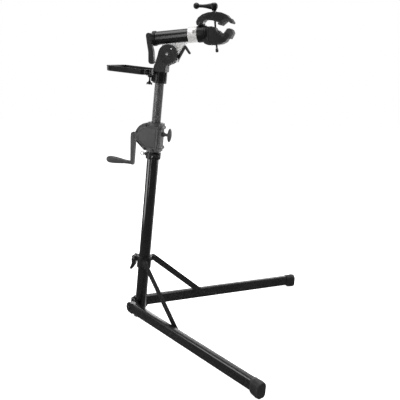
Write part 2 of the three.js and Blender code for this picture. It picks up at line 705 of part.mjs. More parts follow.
// ---------------------------------------------------------------- neck
function buildNeck() {
  const low = 1057;
  const bridgeTop = 1131;
  const cheekR = 40;
  const cheekIn = 9.8;
  const cheekOut = 25;
  const cheekShape = outline([
    [-24, 1112],
    [29, 1112],
    [29, bridgeTop],
    [TILT_OUT + 27, TILT_UP - 29],
    [TILT_OUT + 30, TILT_UP],
    [TILT_OUT - 38, TILT_UP + 8],
  ]);
  const cheeks = [[cheekIn, cheekOut], [-cheekOut, -cheekIn]].flatMap(([y0, y1]) => [
    slabY(disc(TILT_OUT, TILT_UP, cheekR), y0, y1, 9),
    slabY(cheekShape, y0, y1),
  ]);
  const solidNeck = join(
    rod(23.5, low, bridgeTop - 6, 28),
    ring(27, UPPER_R + GAP, low, low + 9, 28),
    block(18, 28.5, -6, 6, low, bridgeTop - 4),
    block(-29.5, -18, -6, 6, low, bridgeTop - 8),
    block(-22, 29, -cheekOut, cheekOut, 1104, bridgeTop),
    ...cheeks,
  );
  const bore = rod(UPPER_R + GAP, low - 1, UPPER_TOP + GAP, 28);
  const boltBore = alongY(rod(6.3, -30, 30, 16)).translate(TILT_OUT, 0, TILT_UP);
  const stopBore = alongY(rod(4.3, -30, -18, 12)).translate(TILT_OUT + 15, 0, TILT_UP + 24);
  const notches = [-32, -44, -56, -68].map((turn) => {
    const x = TILT_OUT + (cheekR + 0.5) * Math.cos(rad(turn));
    const z = TILT_UP + (cheekR + 0.5) * Math.sin(rad(turn));
    return alongY(rod(3, -30, 30, 10)).translate(x, 0, z);
  });
  piece(mast, 'neck_bracket', cut(solidNeck, bore, boltBore, stopBore, ...notches), CAST_BLACK);

  const half = [[6, 25.3], [7.4, 25.3], [7.4, 27.5], [6, 29], [0, 29]];
  const tiltProfile = [...half.map(([r, y]) => [r, -y]).reverse(), ...half];
  const tiltBolt = alongY(turned(tiltProfile, 16)).translate(TILT_OUT, 0, TILT_UP);
  piece(mast, 'tilt_bolt', tiltBolt, STEEL);
  const stopPin = alongY(rod(4, -27.5, -18.3, 12)).translate(TILT_OUT + 15, 0, TILT_UP + 24);
  piece(mast, 'stop_pin', stopPin, STEEL);
}

// ---------------------------------------------------------------- tool tray
function buildTray() {
  const front = -34;
  const back = -200;
  const screwAt = -44;
  const half = 105;
  const floorUp = 1088;
  const rimUp = 1110;
  const wall = 3;
  const long = front - back;
  const outer = slabZ(roundedBox(long, 2 * half, 18), floorUp, rimUp, 5);
  const lip = slabZ(roundedBox(long + 3, 2 * half + 6, 20), rimUp - 3, rimUp, 5);
  const inside = slabZ(roundedBox(long - 2 * wall, 2 * (half - wall), 15), floorUp + wall, rimUp + 5, 5);
  const middle = (front + back) / 2;
  const tray = surface(cut(join(outer, lip), inside)).translate(middle, 0, 0);
  const screwHole = rod(3.9, floorUp - 5, floorUp + 10, 12).translate(screwAt, 0, 0);
  const holeBack = rod(5, floorUp - 5, floorUp + 10, 12);
  const hangHoles = [-60, 60].map((y) => holeBack.clone().translate(-170, y, 0));
  piece(mast, 'tool_tray', cut(tray, screwHole, ...hangHoles), PLASTIC);

  const flat = block(screwAt - 14, -29.8, -13, 13, 1082.5, floorUp - GAP);
  const flange = block(-34, -29.8, -13, 13, 1062, floorUp - GAP);
  const boss = rod(9, 1076, 1084, 16).translate(screwAt, 0, 0);
  const threadBore = rod(3.9, 1060, 1100, 12).translate(screwAt, 0, 0);
  piece(mast, 'tray_bracket', cut(join(flat, flange, boss), threadBore), CAST_BLACK);

  const shankProfile = [[0, 1046], [5, 1046], [6.5, 1052], [5, 1060], [3.5, 1062], [3.5, 1090.5], [0, 1090.5]];
  const shank = turned(shankProfile, 12);
  const wing = [[4, 1050], [12, 1044], [12, 1053], [3, 1059]];
  const wings = slabY(outline([...wing, ...wing.map(([x, z]) => [-x, z]).reverse()]), -2, 2);
  const thumbScrew = join(shank, wings);
  piece(mast, 'thumb_screw', surface(thumbScrew).translate(screwAt, 0, 0), CAST_BLACK);
}

// ---------------------------------------------------------------- clamp arm
const LATCH_HUB = [31.7, -24.8];
const LEVER_BACK = -78.5;
const LEVER_UP = 82;
const CAP_BACK = -66.4;

function buildArm() {
  const half = 9.4;
  const core = alongX(rod(21.6, SLEEVE_BACK, RING_FRONT, 28)).translate(0, 0, ARM_OFF);
  const collarRing = alongX(rod(RING_R, RING_BACK, RING_FRONT, 32)).translate(0, 0, ARM_OFF);
  const web = outline([[-28, 18], [-22, 54], [96, 54], [92, 40], [66, 33], [27, -14]]);
  const lug = capsule(10, -8, 20, ...LATCH_HUB, 8);
  const body = join(
    core,
    collarRing,
    slabY(disc(0, 0, 33), -half, half, 10),
    slabY(web, -half, half),
    slabY(lug, -half, half, 7),
  );
  const tiltBore = alongY(rod(6.3, -20, 20, 16));
  const spindleBore = alongX(rod(10.3, 50, RING_FRONT + 5, 28)).translate(0, 0, ARM_OFF);
  const indexSlot = block(113, RING_FRONT + 1, -40, -21, ARM_OFF + 3, ARM_OFF + 17);
  const latchSlot = slabY(capsule(26, -18, 15, 46, -38, 15), -5.6, 5.6);
  const latchBore = alongY(rod(3.3, -20, 20, 16)).translate(LATCH_HUB[0], 0, LATCH_HUB[1]);
  const casting = cut(body, tiltBore, spindleBore, indexSlot, latchSlot, latchBore);
  piece(arm, 'arm_casting', casting, RAW_ALUMINIUM);

  const sleeve = alongX(ring(SLEEVE_R, 22, SLEEVE_BACK, RING_BACK - GAP, 32)).translate(0, 0, ARM_OFF);
  const webSlot = block(-36, 100, -half - GAP, half + GAP, 0, ARM_OFF);
  piece(arm, 'arm_sleeve', cut(sleeve, webSlot), SATIN_BLACK);

  const capR = 30;
  const capFront = SLEEVE_BACK - GAP;
  const capProfile = [
    [0, capFront],
    [capR, capFront],
    [capR, CAP_BACK + 6],
    [capR - 6, CAP_BACK],
    [0, CAP_BACK],
  ];
  const cap = alongX(turned(capProfile, 28)).translate(0, 0, ARM_OFF);
  const capLug = slabY(capsule(CAP_BACK + 5, LEVER_UP, 6.5, LEVER_BACK, LEVER_UP, 5), -5, 5);
  const lugBore = alongY(rod(3.4, -10, 10, 16)).translate(LEVER_BACK, 0, LEVER_UP);
  piece(arm, 'rear_cap', cut(join(cap, capLug), lugBore), CAST_BLACK);
}

function buildTiltLatch() {
  const [hubX, hubZ] = LATCH_HUB;
  const bar = join(
    slabY(disc(hubX, hubZ, 8.5), -5.2, 5.2),
    slabY(capsule(hubX, hubZ, 7, 70.5, 26, 5), -4.5, 4.5),
    slabY(capsule(70.5, 26, 5, 87, -2, 4), -4.5, 4.5),
    alongY(rod(3, -9, 9, 16)).translate(hubX, 0, hubZ),
  );
  piece(arm, 'tilt_latch', bar, PLASTIC);
}

function buildRearLever() {
  const half = 11;
  const [waistX, waistZ, waistR] = [-75, 18, 10.5];
  const blade = join(
    slabY(capsule(LEVER_BACK, LEVER_UP, 11, LEVER_BACK - 1.5, 58, 8.5), -half, half, 7),
    slabY(capsule(LEVER_BACK - 1.5, 58, 8.5, waistX, waistZ, waistR), -half, half, 7),
    slabY(capsule(waistX, waistZ, waistR, -77, -20, 12), -half, half, 7),
  );
  const lugRoom = [0, 45, 90].map((turn) => {
    const [x, z] = [LEVER_BACK + 15 * Math.cos(rad(turn)), LEVER_UP + 15 * Math.sin(rad(turn))];
    return slabY(capsule(LEVER_BACK, LEVER_UP, 7.6, x, z, 7.6), -5.4, 5.4);
  });
  const pin = alongY(rod(3, -9, 9, 16)).translate(LEVER_BACK, 0, LEVER_UP);
  piece(arm, 'rear_lever', join(surface(cut(blade, ...lugRoom)), pin), PLASTIC);
}

// ---------------------------------------------------------------- clamp head
function buildHead() {
  const axisUp = ARM_OFF - JAW_LIFT;
  const hub = alongX(turned([
    [0, RING_FRONT + 0.6],
    [HEAD_R, RING_FRONT + 0.6],
    [HEAD_R, HEAD_FRONT - 10],
    [HEAD_R - 2, HEAD_FRONT - 8],
    [HEAD_R - 2, HEAD_FRONT],
    [0, HEAD_FRONT],
  ], 28)).translate(0, 0, axisUp);
  const spindle = alongX(rod(10, 60, RING_FRONT + 2, 28)).translate(0, 0, axisUp);
  const jaw = outline([
    [150, 38],
    [157, 26],
    [172, 19],
    [206, 16.5],
    [226, 19],
    [243, 26],
    [253, 37],
    [259, 48],
    [255, 58],
    [247, 60],
    [238, 48],
    [231, 46],
    [212, 66],
    [204, 84],
    [190, 90],
    [150, 90],
  ]);
  const hingeLug = capsule(HINGE_OUT, HINGE_UP, 10, HINGE_OUT, 84, 12);
  const body = join(
    hub,
    spindle,
    slabY(jaw, -JAW_HALF, JAW_HALF),
    slabY(hingeLug, -8.8, 8.8, 7),
  );
  const hingeBore = alongY(rod(4.3, -20, 20, 12)).translate(HINGE_OUT, 0, HINGE_UP);
  const screwBore = rod(4.9, 0, 120, 16).translate(SCREW_OUT, 0, 0);
  piece(jaws, 'clamp_head', cut(body, hingeBore, screwBore), CAST_BLACK);

  const lowerPad = outline([
    [212.5, 66.7],
    [231.2, 46.4],
    [237.8, 48.4],
    [246.8, 60.4],
    [255.3, 58.4],
    [259.4, 48],
    [253.6, 37],
    [262, 35],
    [275.5, 56],
    [272, 68],
    [263, 75.5],
    [252, 75],
    [232.7, 54.6],
    [214, 74],
  ]);
  piece(jaws, 'lower_jaw_pad', slabY(lowerPad, -JAW_HALF - 1, JAW_HALF + 1), PAD_RUBBER);
  const pinHalf = [[4, 24.3], [6, 24.3], [6, 26], [0, 26]];
  const pin = alongY(turned([...pinHalf.map(([r, y]) => [r, -y]).reverse(), ...pinHalf], 12));
  piece(jaws, 'jaw_pin', pin.translate(HINGE_OUT, 0, HINGE_UP), STEEL);
}

function buildUpperJaw() {
  const arch = outline([
    [131, 98],
    [129, 112],
    [138, 127],
    [156, 138],
    [180, 143.5],
    [208, 143.5],
    [234, 138],
    [254, 127],
    [264, 114],
    [259, 108],
    [252, 112],
    [228, 98],
    [216, 103],
    [206, 107],
    [190, 113],
    [166, 116],
    [158, 110],
    [155, 99],
  ]);
  const slotLow = 90;
  const slotHigh = 150;
  const screwSlot = slabZ(outline([[193, -5.6], [214, -5.6], [214, 5.6], [193, 5.6]]), slotLow, slotHigh);
  const lugSlot = slabY(capsule(HINGE_OUT, HINGE_UP, 12.5, HINGE_OUT, 80, 18), -9.2, 9.2, 7);
  const bore = alongY(rod(4.4, -30, 30, 12)).translate(HINGE_OUT, 0, HINGE_UP);
  const hubRoom = alongX(rod(HEAD_R + 2.8, 110, HEAD_FRONT + 1, 32)).translate(0, 0, ARM_OFF - JAW_LIFT);
  const jaw = cut(slabY(arch, -JAW_HALF, JAW_HALF), screwSlot, lugSlot, bore, hubRoom);
  piece(jaws, 'upper_jaw', jaw, CAST_BLACK);

  const pad = outline([
    [217, 102.2],
    [228, 97.6],
    [252, 111.6],
    [259.2, 107.6],
    [264.4, 114],
    [270, 112],
    [279, 96],
    [275, 91],
    [267, 94],
    [254, 105.4],
    [230, 88.8],
    [217, 94],
  ]);
  piece(jaws, 'upper_jaw_pad', slabY(pad, -JAW_HALF - 1, JAW_HALF + 1), PAD_RUBBER);
}

function buildClampScrew() {
  const screw = rod(4.5, 3.3, 150, 16).translate(SCREW_OUT, 0, 0);
  piece(jaws, 'clamp_screw', screw, STEEL);
  const washer = ring(9, 4.8, 145.6, 148.4, 28).translate(SCREW_OUT, 0, 0);
  piece(jaws, 'thrust_washer', washer, STEEL);
  const tip = turned([[0, -11], [4, -11], [6, -8], [6, 3], [0, 3]], 12).translate(SCREW_OUT, 0, 0);
  piece(jaws, 'screw_tip', tip, RUBBER);

  const hub = turned([[0, 150.3], [9, 150.3], [13, 156], [16, 165], [14, 174], [8, 179], [0, 180]], 18);
  hub.translate(SCREW_OUT, 0, 0);
  const hubZ = 165;
  const [ballX, ballZ, ballR] = [130, 174.6, 12.5];
  const bladeRise = Math.atan2(ballZ - hubZ, ballX - SCREW_OUT);
  const bladeLong = Math.hypot(ballZ - hubZ, ballX - SCREW_OUT);
  const bladeEnd = bladeLong - 4;
  const blade = turned([[0, 0], [12, 0], [12, 14], [8, 30], [6.3, 46], [6.5, bladeEnd], [0, bladeEnd]], 12);
  blade.rotateY(Math.PI / 2 - bladeRise).translate(SCREW_OUT, 0, hubZ);
  const ball = new THREE.SphereGeometry(ballR, 14, 10).translate(ballX, 0, ballZ);
  const collarStart = [4.8, 148.7];
  const collarProfile = [collarStart, [7, 148.7], [7, 152], [0, 152], [0, 150.3], [4.8, 150.3], collarStart];
  const collarPart = turned(collarProfile, 12);
  const handle = join(hub, blade, ball, collarPart.translate(SCREW_OUT, 0, 0));
  piece(jaws, 'screw_handle', handle, PLASTIC);
}

// ---------------------------------------------------------------- assembly
buildMastFoot();
buildLowerMast();
for (const [side, word] of [[1, 'left'], [-1, 'right']]) {
  buildLeg(side, word);
  buildStrut(side, word);
  buildCaseHalf(side, word);
}
buildCollar();
buildMastClamp();
buildDrive();
buildCrank();
buildBrake();
buildUpperMast();
buildNeck();
buildTray();
buildArm();
buildTiltLatch();
buildRearLever();
buildHead();
buildUpperJaw();
buildClampScrew();

export default stand;
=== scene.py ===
"""Bicycle repair stand: fine pieces, materials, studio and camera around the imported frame.

Shapes are worked out in millimetres in the stand's own frames (mast, legs, arm, jaws) and placed in metres.
"""
import json
import math

import bmesh
import bpy
from mathutils import Matrix, Vector


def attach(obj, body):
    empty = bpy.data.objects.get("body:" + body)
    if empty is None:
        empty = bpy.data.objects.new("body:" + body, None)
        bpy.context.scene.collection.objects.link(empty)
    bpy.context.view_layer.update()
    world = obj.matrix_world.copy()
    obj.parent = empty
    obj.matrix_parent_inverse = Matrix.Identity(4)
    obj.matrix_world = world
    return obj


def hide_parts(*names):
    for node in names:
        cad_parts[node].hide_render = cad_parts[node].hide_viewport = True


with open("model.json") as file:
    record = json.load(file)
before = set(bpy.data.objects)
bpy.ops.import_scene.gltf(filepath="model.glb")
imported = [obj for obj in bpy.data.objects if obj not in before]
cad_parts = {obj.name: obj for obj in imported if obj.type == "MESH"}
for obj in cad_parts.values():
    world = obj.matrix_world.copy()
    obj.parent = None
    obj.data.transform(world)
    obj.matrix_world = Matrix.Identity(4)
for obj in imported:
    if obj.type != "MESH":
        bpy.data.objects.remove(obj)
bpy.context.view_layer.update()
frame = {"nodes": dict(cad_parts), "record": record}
NODES = frame["nodes"]
NODE_BODY = {
    node: body
    for body, members in frame["record"]["behaviour"]["bodies"].items()
    for node in members
}
NODE_SLOT = {part["node"]: part["material_slot"] for part in frame["record"]["subparts"]}
TURN = 2 * math.pi

# ------------------------------------------------------------------ driving dimensions (millimetres)
GAP = 0.3
LEAN = math.radians(6.2)
MAST_R = 25.4
MAST_WALL = 2
MAST_BOTTOM = 34.3
MAST_TOP = 784
UPPER_R = 19
UPPER_BORE = 15
UPPER_BOTTOM = 318
UPPER_TOP = 1118
FLUTES = 20

LEG_SPREAD = math.radians(37.16)
LEG_PLANE = 46
LEG_WIDE = 30
LEG_TALL = 48
LEG_CORNER = 9
LEG_RISE = math.radians(3.6)
LEG_REACH = 842
LEG_PIVOT_UP = 50
BOOT_LONG = 46
TUBE_END = LEG_REACH - 12

STRUT_WIDE = 27
STRUT_THICK = 4
STRUT_IN = 26.3
STRUT_TOP = (50, 274)
STRUT_FOOT = 326
COLLAR_LOW = 239
COLLAR_HIGH = 292
CAM = (-46, 277)

CASE_LOW = 770
CASE_HIGH = 892
CASE_HALF = 33
DRIVE_UP = 829
DRIVE_BACK = 29.1
BRAKE_UP = 846
CRANK_LOW = DRIVE_UP - 124
PIN_UP = 753

TILT_OUT = 31
TILT_UP = 1176
ARM_RISE = math.radians(10.75)
ARM_OFF = 68.4
SLEEVE_R = 27
SLEEVE_BACK = -47
CAP_R = 30
CAP_BACK = -66.4
RING_R = 31
RING_BACK = 91
RING_FRONT = 128
HEAD_R = 33
HEAD_FRONT = 168
SCREW_OUT = 201
JAW_LIFT = 3
HINGE = (143, 104)
JAW_HALF = 24
LATCH_HUB = (31.7, -24.8)
LEVER_PIN = (-78.5, 82)
CHEEK_R = 40
TRAY_FRONT = -34
TRAY_SCREW = -44
TRAY_BACK = -200
TRAY_HALF = 105
TRAY_FLOOR = 1088
TRAY_RIM = 1110


# ------------------------------------------------------------------ frames
def shift(x=0.0, y=0.0, z=0.0):
    return Matrix.Translation((x, y, z))


MAST = Matrix.Rotation(LEAN, 4, "Y")
ARM = MAST @ shift(TILT_OUT, 0, TILT_UP) @ Matrix.Rotation(-ARM_RISE, 4, "Y")
JAWS = ARM @ shift(0, 0, JAW_LIFT)
METRES = Matrix.Scale(0.001, 4)
SIDES = {"left": 1, "right": -1}


def side_frame(side):
    return MAST @ Matrix.Rotation(side * LEG_SPREAD, 4, "Z")


def leg_frame(side):
    return side_frame(side) @ shift(0, side * LEG_PLANE, LEG_PIVOT_UP) @ Matrix.Rotation(-LEG_RISE, 4, "Y")


def flank(side, inner, outer):
    """The span from inner to outer on one side of the middle plane, lower value first."""
    return sorted([side * inner, side * outer])


# ------------------------------------------------------------------ outlines
def disc(middle, radius, sides=64):
    turns = [TURN * i / sides for i in range(sides)]
    return [(middle[0] + radius * math.cos(t), middle[1] + radius * math.sin(t)) for t in turns]


def ellipse(middle, wide, tall, sides=72):
    turns = [TURN * i / sides for i in range(sides)]
    return [(middle[0] + wide * math.cos(t), middle[1] + tall * math.sin(t)) for t in turns]


def arc(middle, radius, start, end, steps=16):
    turns = [start + (end - start) * i / steps for i in range(steps + 1)]
    return [(middle[0] + radius * math.cos(t), middle[1] + radius * math.sin(t)) for t in turns]


def capsule(start, r0, end, r1, steps=20):
    """Two circles and the straight sides that join them."""
    x, y = end[0] - start[0], end[1] - start[1]
    along = math.atan2(y, x)
    lean = math.acos((r0 - r1) / math.hypot(x, y))
    back = arc(start, r0, along + lean, along - lean + TURN, steps)
    return back + arc(end, r1, along - lean, along + lean, steps)


def rounded(points, radius, closed=True, steps=6):
    """The outline with each corner turned into a short curve."""
    result = []
    last = len(points) - 1
    for i, point in enumerate(points):
        if not closed and i in (0, last):
            result.append(tuple(point))
            continue
        here = Vector(point)
        back = Vector(points[i - 1]) - here
        ahead = Vector(points[(i + 1) % len(points)]) - here
        bend = back.angle(ahead)
        if bend > math.radians(177):
            result.append(tuple(point))
            continue
        reach = min(radius / math.tan(bend / 2), 0.45 * back.length, 0.45 * ahead.length)
        start = here + back.normalized() * reach
        end = here + ahead.normalized() * reach
        for k in range(steps + 1):
            t = k / steps
            middle = start * (1 - t) ** 2 + here * 2 * t * (1 - t) + end * t ** 2
            result.append(tuple(middle))
    return result


def rounded_box(wide, tall, corner, steps=8, middle=(0, 0)):
    x, y = wide / 2 - corner, tall / 2 - corner
    points = []
    for k, (right, up) in enumerate([(1, 1), (-1, 1), (-1, -1), (1, -1)]):
        hub = (middle[0] + right * x, middle[1] + up * y)
        points += arc(hub, corner, k * math.pi / 2, (k + 1) * math.pi / 2, steps)
    return points


# ------------------------------------------------------------------ solids
def spot(axis, a, b, depth):
    """The point (a, b) of a plane square to the axis, at a depth along that axis."""
    if axis == "x":
        return (depth, a, b)
    if axis == "y":
        return (a, depth, b)
    return (a, b, depth)


def closed_mesh(points, faces):
    work = bmesh.new()
    corners = [work.verts.new(point) for point in points]
    for face in faces:
        work.faces.new([corners[i] for i in face])
    bmesh.ops.recalc_face_normals(work, faces=work.faces)
    mesh = bpy.data.meshes.new("shape")
    work.to_mesh(mesh)
    work.free()
    return mesh


def skin(rings):
    """A closed mesh over rings of equally many points; the first and last rings are capped."""
    around = len(rings[0])
    points = [point for row in rings for point in row]
    faces = [list(range(around)), list(range(len(points) - around, len(points)))]
    for k in range(len(rings) - 1):
        low, high = k * around, (k + 1) * around
        for i in range(around):
            j = (i + 1) % around
            faces.append([low + i, low + j, high + j, high + i])
    return closed_mesh(points, faces)


def slab(points, low, high, axis="y"):
    return skin([[spot(axis, a, b, depth) for a, b in points] for depth in (low, high)])


def rod(radius, low, high, axis="z", at=(0, 0), sides=64):
    return slab(disc(at, radius, sides), low, high, axis)


def block(x0, x1, y0, y1, z0, z1):
    return slab([(x0, y0), (x1, y0), (x1, y1), (x0, y1)], z0, z1, "z")


def turned(profile, axis="z", at=(0, 0), sides=64):
    """A profile of (radius, height) turned about an axis: open from axis to axis, or a closed ring."""
    points, rows, faces = [], [], []
    for radius, height in profile:
        if radius < 1e-6:
            rows.append([len(points)] * sides)
            points.append(spot(axis, at[0], at[1], height))
            continue
        rows.append(list(range(len(points), len(points) + sides)))
        points += [spot(axis, a, b, height) for a, b in disc(at, radius, sides)]
    pairs = list(zip(rows, rows[1:]))
    if profile[0][0] > 0:
        pairs.append((rows[-1], rows[0]))
    for low, high in pairs:
        for i in range(sides):
            j = (i + 1) % sides
            corners = list(dict.fromkeys([low[i], low[j], high[j], high[i]]))
            if len(corners) > 2:
                faces.append(corners)
    return closed_mesh(points, faces)


def ring(outer, inner, low, high, axis="z", at=(0, 0), sides=72):
    return turned([(inner, low), (outer, low), (outer, high), (inner, high)], axis, at, sides)


def combined(operation, first, tools):
    scene = bpy.context.scene.collection
    host = bpy.data.objects.new("host", first)
    scene.objects.link(host)
    helpers = []
    for tool in tools:
        helper = bpy.data.objects.new("helper", tool)
        scene.objects.link(helper)
        helpers.append(helper)
        step = host.modifiers.new("step", "BOOLEAN")
        step.operation = operation
        step.solver = "MANIFOLD"
        step.object = helper
    graph = bpy.context.evaluated_depsgraph_get()
    result = bpy.data.meshes.new_from_object(host.evaluated_get(graph))
    for item in [host, *helpers]:
        bpy.data.objects.remove(item)
    return result


def join(first, *others):
    return combined("UNION", first, others)


def cut(first, *tools):
    return combined("DIFFERENCE", first, tools)


def common(first, *others):
    return combined("INTERSECT", first, others)


def moved(mesh, place):
    mesh.transform(place)
    return mesh


def under_floor(place):
    """A block that fills the space under the floor, given in the frame that stands at place."""
    return moved(block(-2000, 2000, -2000, 2000, -500, 0), place.inverted())


def hexagon(middle, across, turn=0.0):
    corners = [turn + TURN * i / 6 for i in range(6)]
    reach = across / math.sqrt(3)
    return [(middle[0] + reach * math.cos(t), middle[1] + reach * math.sin(t)) for t in corners]


# ------------------------------------------------------------------ pieces
def show(name, mesh, place, body, slot, bevel):
    mesh.transform(METRES @ place)
    mesh.name = name
    piece = bpy.data.objects.new(name, mesh)
    bpy.context.scene.collection.objects.link(piece)
    dress(piece, slot, bevel)
    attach(piece, body)
    return piece


def stand_in(node, mesh, place, bevel=0.7):
    """A fine piece that stands for one CAD node, on the same body and with the same finish."""
    piece = show(f"{node}_fine", mesh, place, NODE_BODY[node], NODE_SLOT[node], bevel)
    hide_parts(node)


def dress(piece, slot, bevel):
    """Gives a piece its finish, smooth curves and softly rounded edges. A CAD node keeps its own mesh."""
    mesh = piece.data
    mesh.materials.clear()
    mesh.materials.append(SLOT_LOOKS[slot])
    if piece.name not in NODES:
        work = bmesh.new()
        work.from_mesh(mesh)
        bmesh.ops.remove_doubles(work, verts=work.verts, dist=0.00001)
        bmesh.ops.dissolve_limit(work, angle_limit=math.radians(0.5), verts=work.verts, edges=work.edges)
        work.to_mesh(mesh)
        work.free()
    mesh.shade_smooth()
    mesh.set_sharp_from_angle(angle=math.radians(34))
    if bevel:
        soft = piece.modifiers.new("soft_edges", "BEVEL")
        soft.width = bevel * 0.001
        soft.segments = 2
        soft.limit_method = "ANGLE"
        soft.angle_limit = math.radians(34)
        soft.harden_normals = True


# ------------------------------------------------------------------ materials
def new_material(name):
    material = bpy.data.materials.new(name)
    material.use_nodes = True
    tree = material.node_tree
    tree.nodes.clear()
    out = tree.nodes.new("ShaderNodeOutputMaterial")
    shader = tree.nodes.new("ShaderNodeBsdfPrincipled")
    tree.links.new(shader.outputs["BSDF"], out.inputs["Surface"])
    return material, tree, shader


def noise(tree, scale, detail, stretch=(1, 1, 1)):
    place = tree.nodes.new("ShaderNodeTexCoord")
    mapping = tree.nodes.new("ShaderNodeMapping")
    mapping.inputs["Scale"].default_value = stretch
    mapping.inputs["Rotation"].default_value = (0, -LEAN, 0)
    mapping.vector_type = "POINT"
    texture = tree.nodes.new("ShaderNodeTexNoise")
    texture.inputs["Scale"].default_value = scale
    texture.inputs["Detail"].default_value = detail
    tree.links.new(place.outputs["Object"], mapping.inputs["Vector"])
    tree.links.new(mapping.outputs["Vector"], texture.inputs["Vector"])
    return texture.outputs["Fac"]


def shades(tree, value, start, end, low, high):
    node = tree.nodes.new("ShaderNodeValToRGB")
    node.color_ramp.elements[0].position = start
    node.color_ramp.elements[0].color = (*low, 1)
    node.color_ramp.elements[1].position = end
    node.color_ramp.elements[1].color = (*high, 1)
    tree.links.new(value, node.inputs["Fac"])
    return node.outputs["Color"]


def spread(tree, value, start, end, low, high):
    node = tree.nodes.new("ShaderNodeMapRange")
    node.inputs["From Min"].default_value = start
    node.inputs["From Max"].default_value = end
    node.inputs["To Min"].default_value = low
    node.inputs["To Max"].default_value = high
    tree.links.new(value, node.inputs["Value"])
    return node.outputs["Result"]


def computed(tree, operation, first, second):
    node = tree.nodes.new("ShaderNodeMath")
    node.operation = operation
    tree.links.new(first, node.inputs[0])
    tree.links.new(second, node.inputs[1])
    return node.outputs["Value"]


def blended(tree, amount, color, other):
    mix = tree.nodes.new("ShaderNodeMix")
    mix.data_type = "RGBA"
    tree.links.new(amount, mix.inputs["Factor"])
    tree.links.new(color, mix.inputs["A"])
    mix.inputs["B"].default_value = (*other, 1)
    return mix.outputs["Result"]


def edge_wear(tree, color, worn):
    """Scuffed edges: the outward corners show a paler colour where a fine noise lets it through."""
    geometry = tree.nodes.new("ShaderNodeNewGeometry")
    edge = spread(tree, geometry.outputs["Pointiness"], 0.52, 0.62, 0, 1)
    scuff = spread(tree, noise(tree, 240, 6), 0.42, 0.62, 0, 1)
    return blended(tree, computed(tree, "MULTIPLY", edge, scuff), color, worn)


PATCH_SCALE = 18
PATCH_RANGE = (0.35, 0.65)
BUMP_DEPTH = 0.0002
COAT_ROUGHNESS = 0.1


def finish(name, dark, light, rough, metal=0.0, grain=900, bump=0.1,
           stretch=(1, 1, 1), worn=None, coat=0.0, specular=0.5):
    """Broad patches between two colours, fine pale specks, a fine grain in relief and worn edges."""
    material, tree, shader = new_material(name)
    broad = noise(tree, PATCH_SCALE, 5, stretch)
    color = shades(tree, broad, *PATCH_RANGE, dark, light)
    speck = spread(tree, noise(tree, grain * 0.6, 2, stretch), 0.55, 0.75, 0, 0.35)
    color = blended(tree, speck, color, tuple(min(1, channel * 1.8) for channel in light))
    if worn:
        color = edge_wear(tree, color, worn)
    tree.links.new(color, shader.inputs["Base Color"])
    tree.links.new(spread(tree, broad, *PATCH_RANGE, *rough), shader.inputs["Roughness"])
    raised = tree.nodes.new("ShaderNodeBump")
    raised.inputs["Strength"].default_value = bump
    raised.inputs["Distance"].default_value = BUMP_DEPTH
    tree.links.new(noise(tree, grain, 3, stretch), raised.inputs["Height"])
    tree.links.new(raised.outputs["Normal"], shader.inputs["Normal"])
    shader.inputs["Metallic"].default_value = metal
    shader.inputs["Specular IOR Level"].default_value = specular
    shader.inputs["Coat Weight"].default_value = coat
    shader.inputs["Coat Roughness"].default_value = COAT_ROUGHNESS
    return material


def grey(value, warmth=0.0):
    return (value * (1 + warmth), value, value * (1 - warmth))


ALONG_MAST = (1, 1, 0.03)
SLOT_LOOKS = {
    "gloss_black": finish("gloss_black", grey(0.005), grey(0.007), (0.12, 0.17), grain=420, bump=0.02,
                          coat=0.5, worn=grey(0.03)),
    "satin_black": finish("satin_black", grey(0.005), grey(0.007), (0.17, 0.23), grain=1300, bump=0.02,
                          worn=grey(0.05)),
    "cast_black": finish("cast_black", grey(0.003), grey(0.006), (0.28, 0.4), grain=650, bump=0.2,
                         worn=grey(0.05), specular=0.28),
    "cast_grey": finish("cast_grey", grey(0.030), grey(0.044), (0.40, 0.52), grain=760, bump=0.32,
                        worn=grey(0.12)),
    "anodised": finish("anodised", grey(0.024), grey(0.030), (0.26, 0.36), metal=0.5, grain=1100,
                       bump=0.03, stretch=ALONG_MAST, worn=grey(0.25)),
    "raw_aluminium": finish("raw_aluminium", grey(0.50, 0.02), grey(0.58, 0.02), (0.34, 0.5), metal=0.4,
                            grain=1300, bump=0.3, worn=grey(0.85)),
    "steel": finish("zinc_steel", grey(0.22), grey(0.32, 0.01), (0.2, 0.34), metal=1.0, grain=900,
                    bump=0.08),
    "nylon": finish("black_nylon", grey(0.018), grey(0.026), (0.45, 0.55), grain=600, bump=0.1),
    "plastic_black": finish("moulded_plastic", grey(0.003), grey(0.006), (0.28, 0.4), grain=1000, bump=0.15,
                            worn=grey(0.03), specular=0.3),
    "grip_grey": finish("grip_plastic", grey(0.030), grey(0.042), (0.38, 0.5), grain=900, bump=0.22,
                        worn=grey(0.08)),
    "rubber": finish("black_rubber", grey(0.007), grey(0.011), (0.46, 0.62), grain=700, bump=0.4,
                     worn=grey(0.03)),
    "pad_rubber": finish("pad_rubber", grey(0.010), grey(0.016), (0.5, 0.65), grain=620, bump=0.45,
                         worn=grey(0.05)),
}


# ------------------------------------------------------------------ fasteners
def button_head(radius, height, socket, axis, at, seat, out):
    """A domed bolt head with a hexagon socket, standing from seat in the direction of out."""
    dome = [(0, 0), (radius, 0), (radius, height * 0.3), (radius * 0.82, height * 0.8),
            (radius * 0.55, height), (0, height)]
    profile = [(r, seat + out * h) for r, h in rounded(dome, 1.2, closed=False)]
    low, high = sorted([seat + out * height * 0.35, seat + out * (height + 1)])
    return cut(turned(profile, axis, at), slab(hexagon(at, socket), low, high, axis))


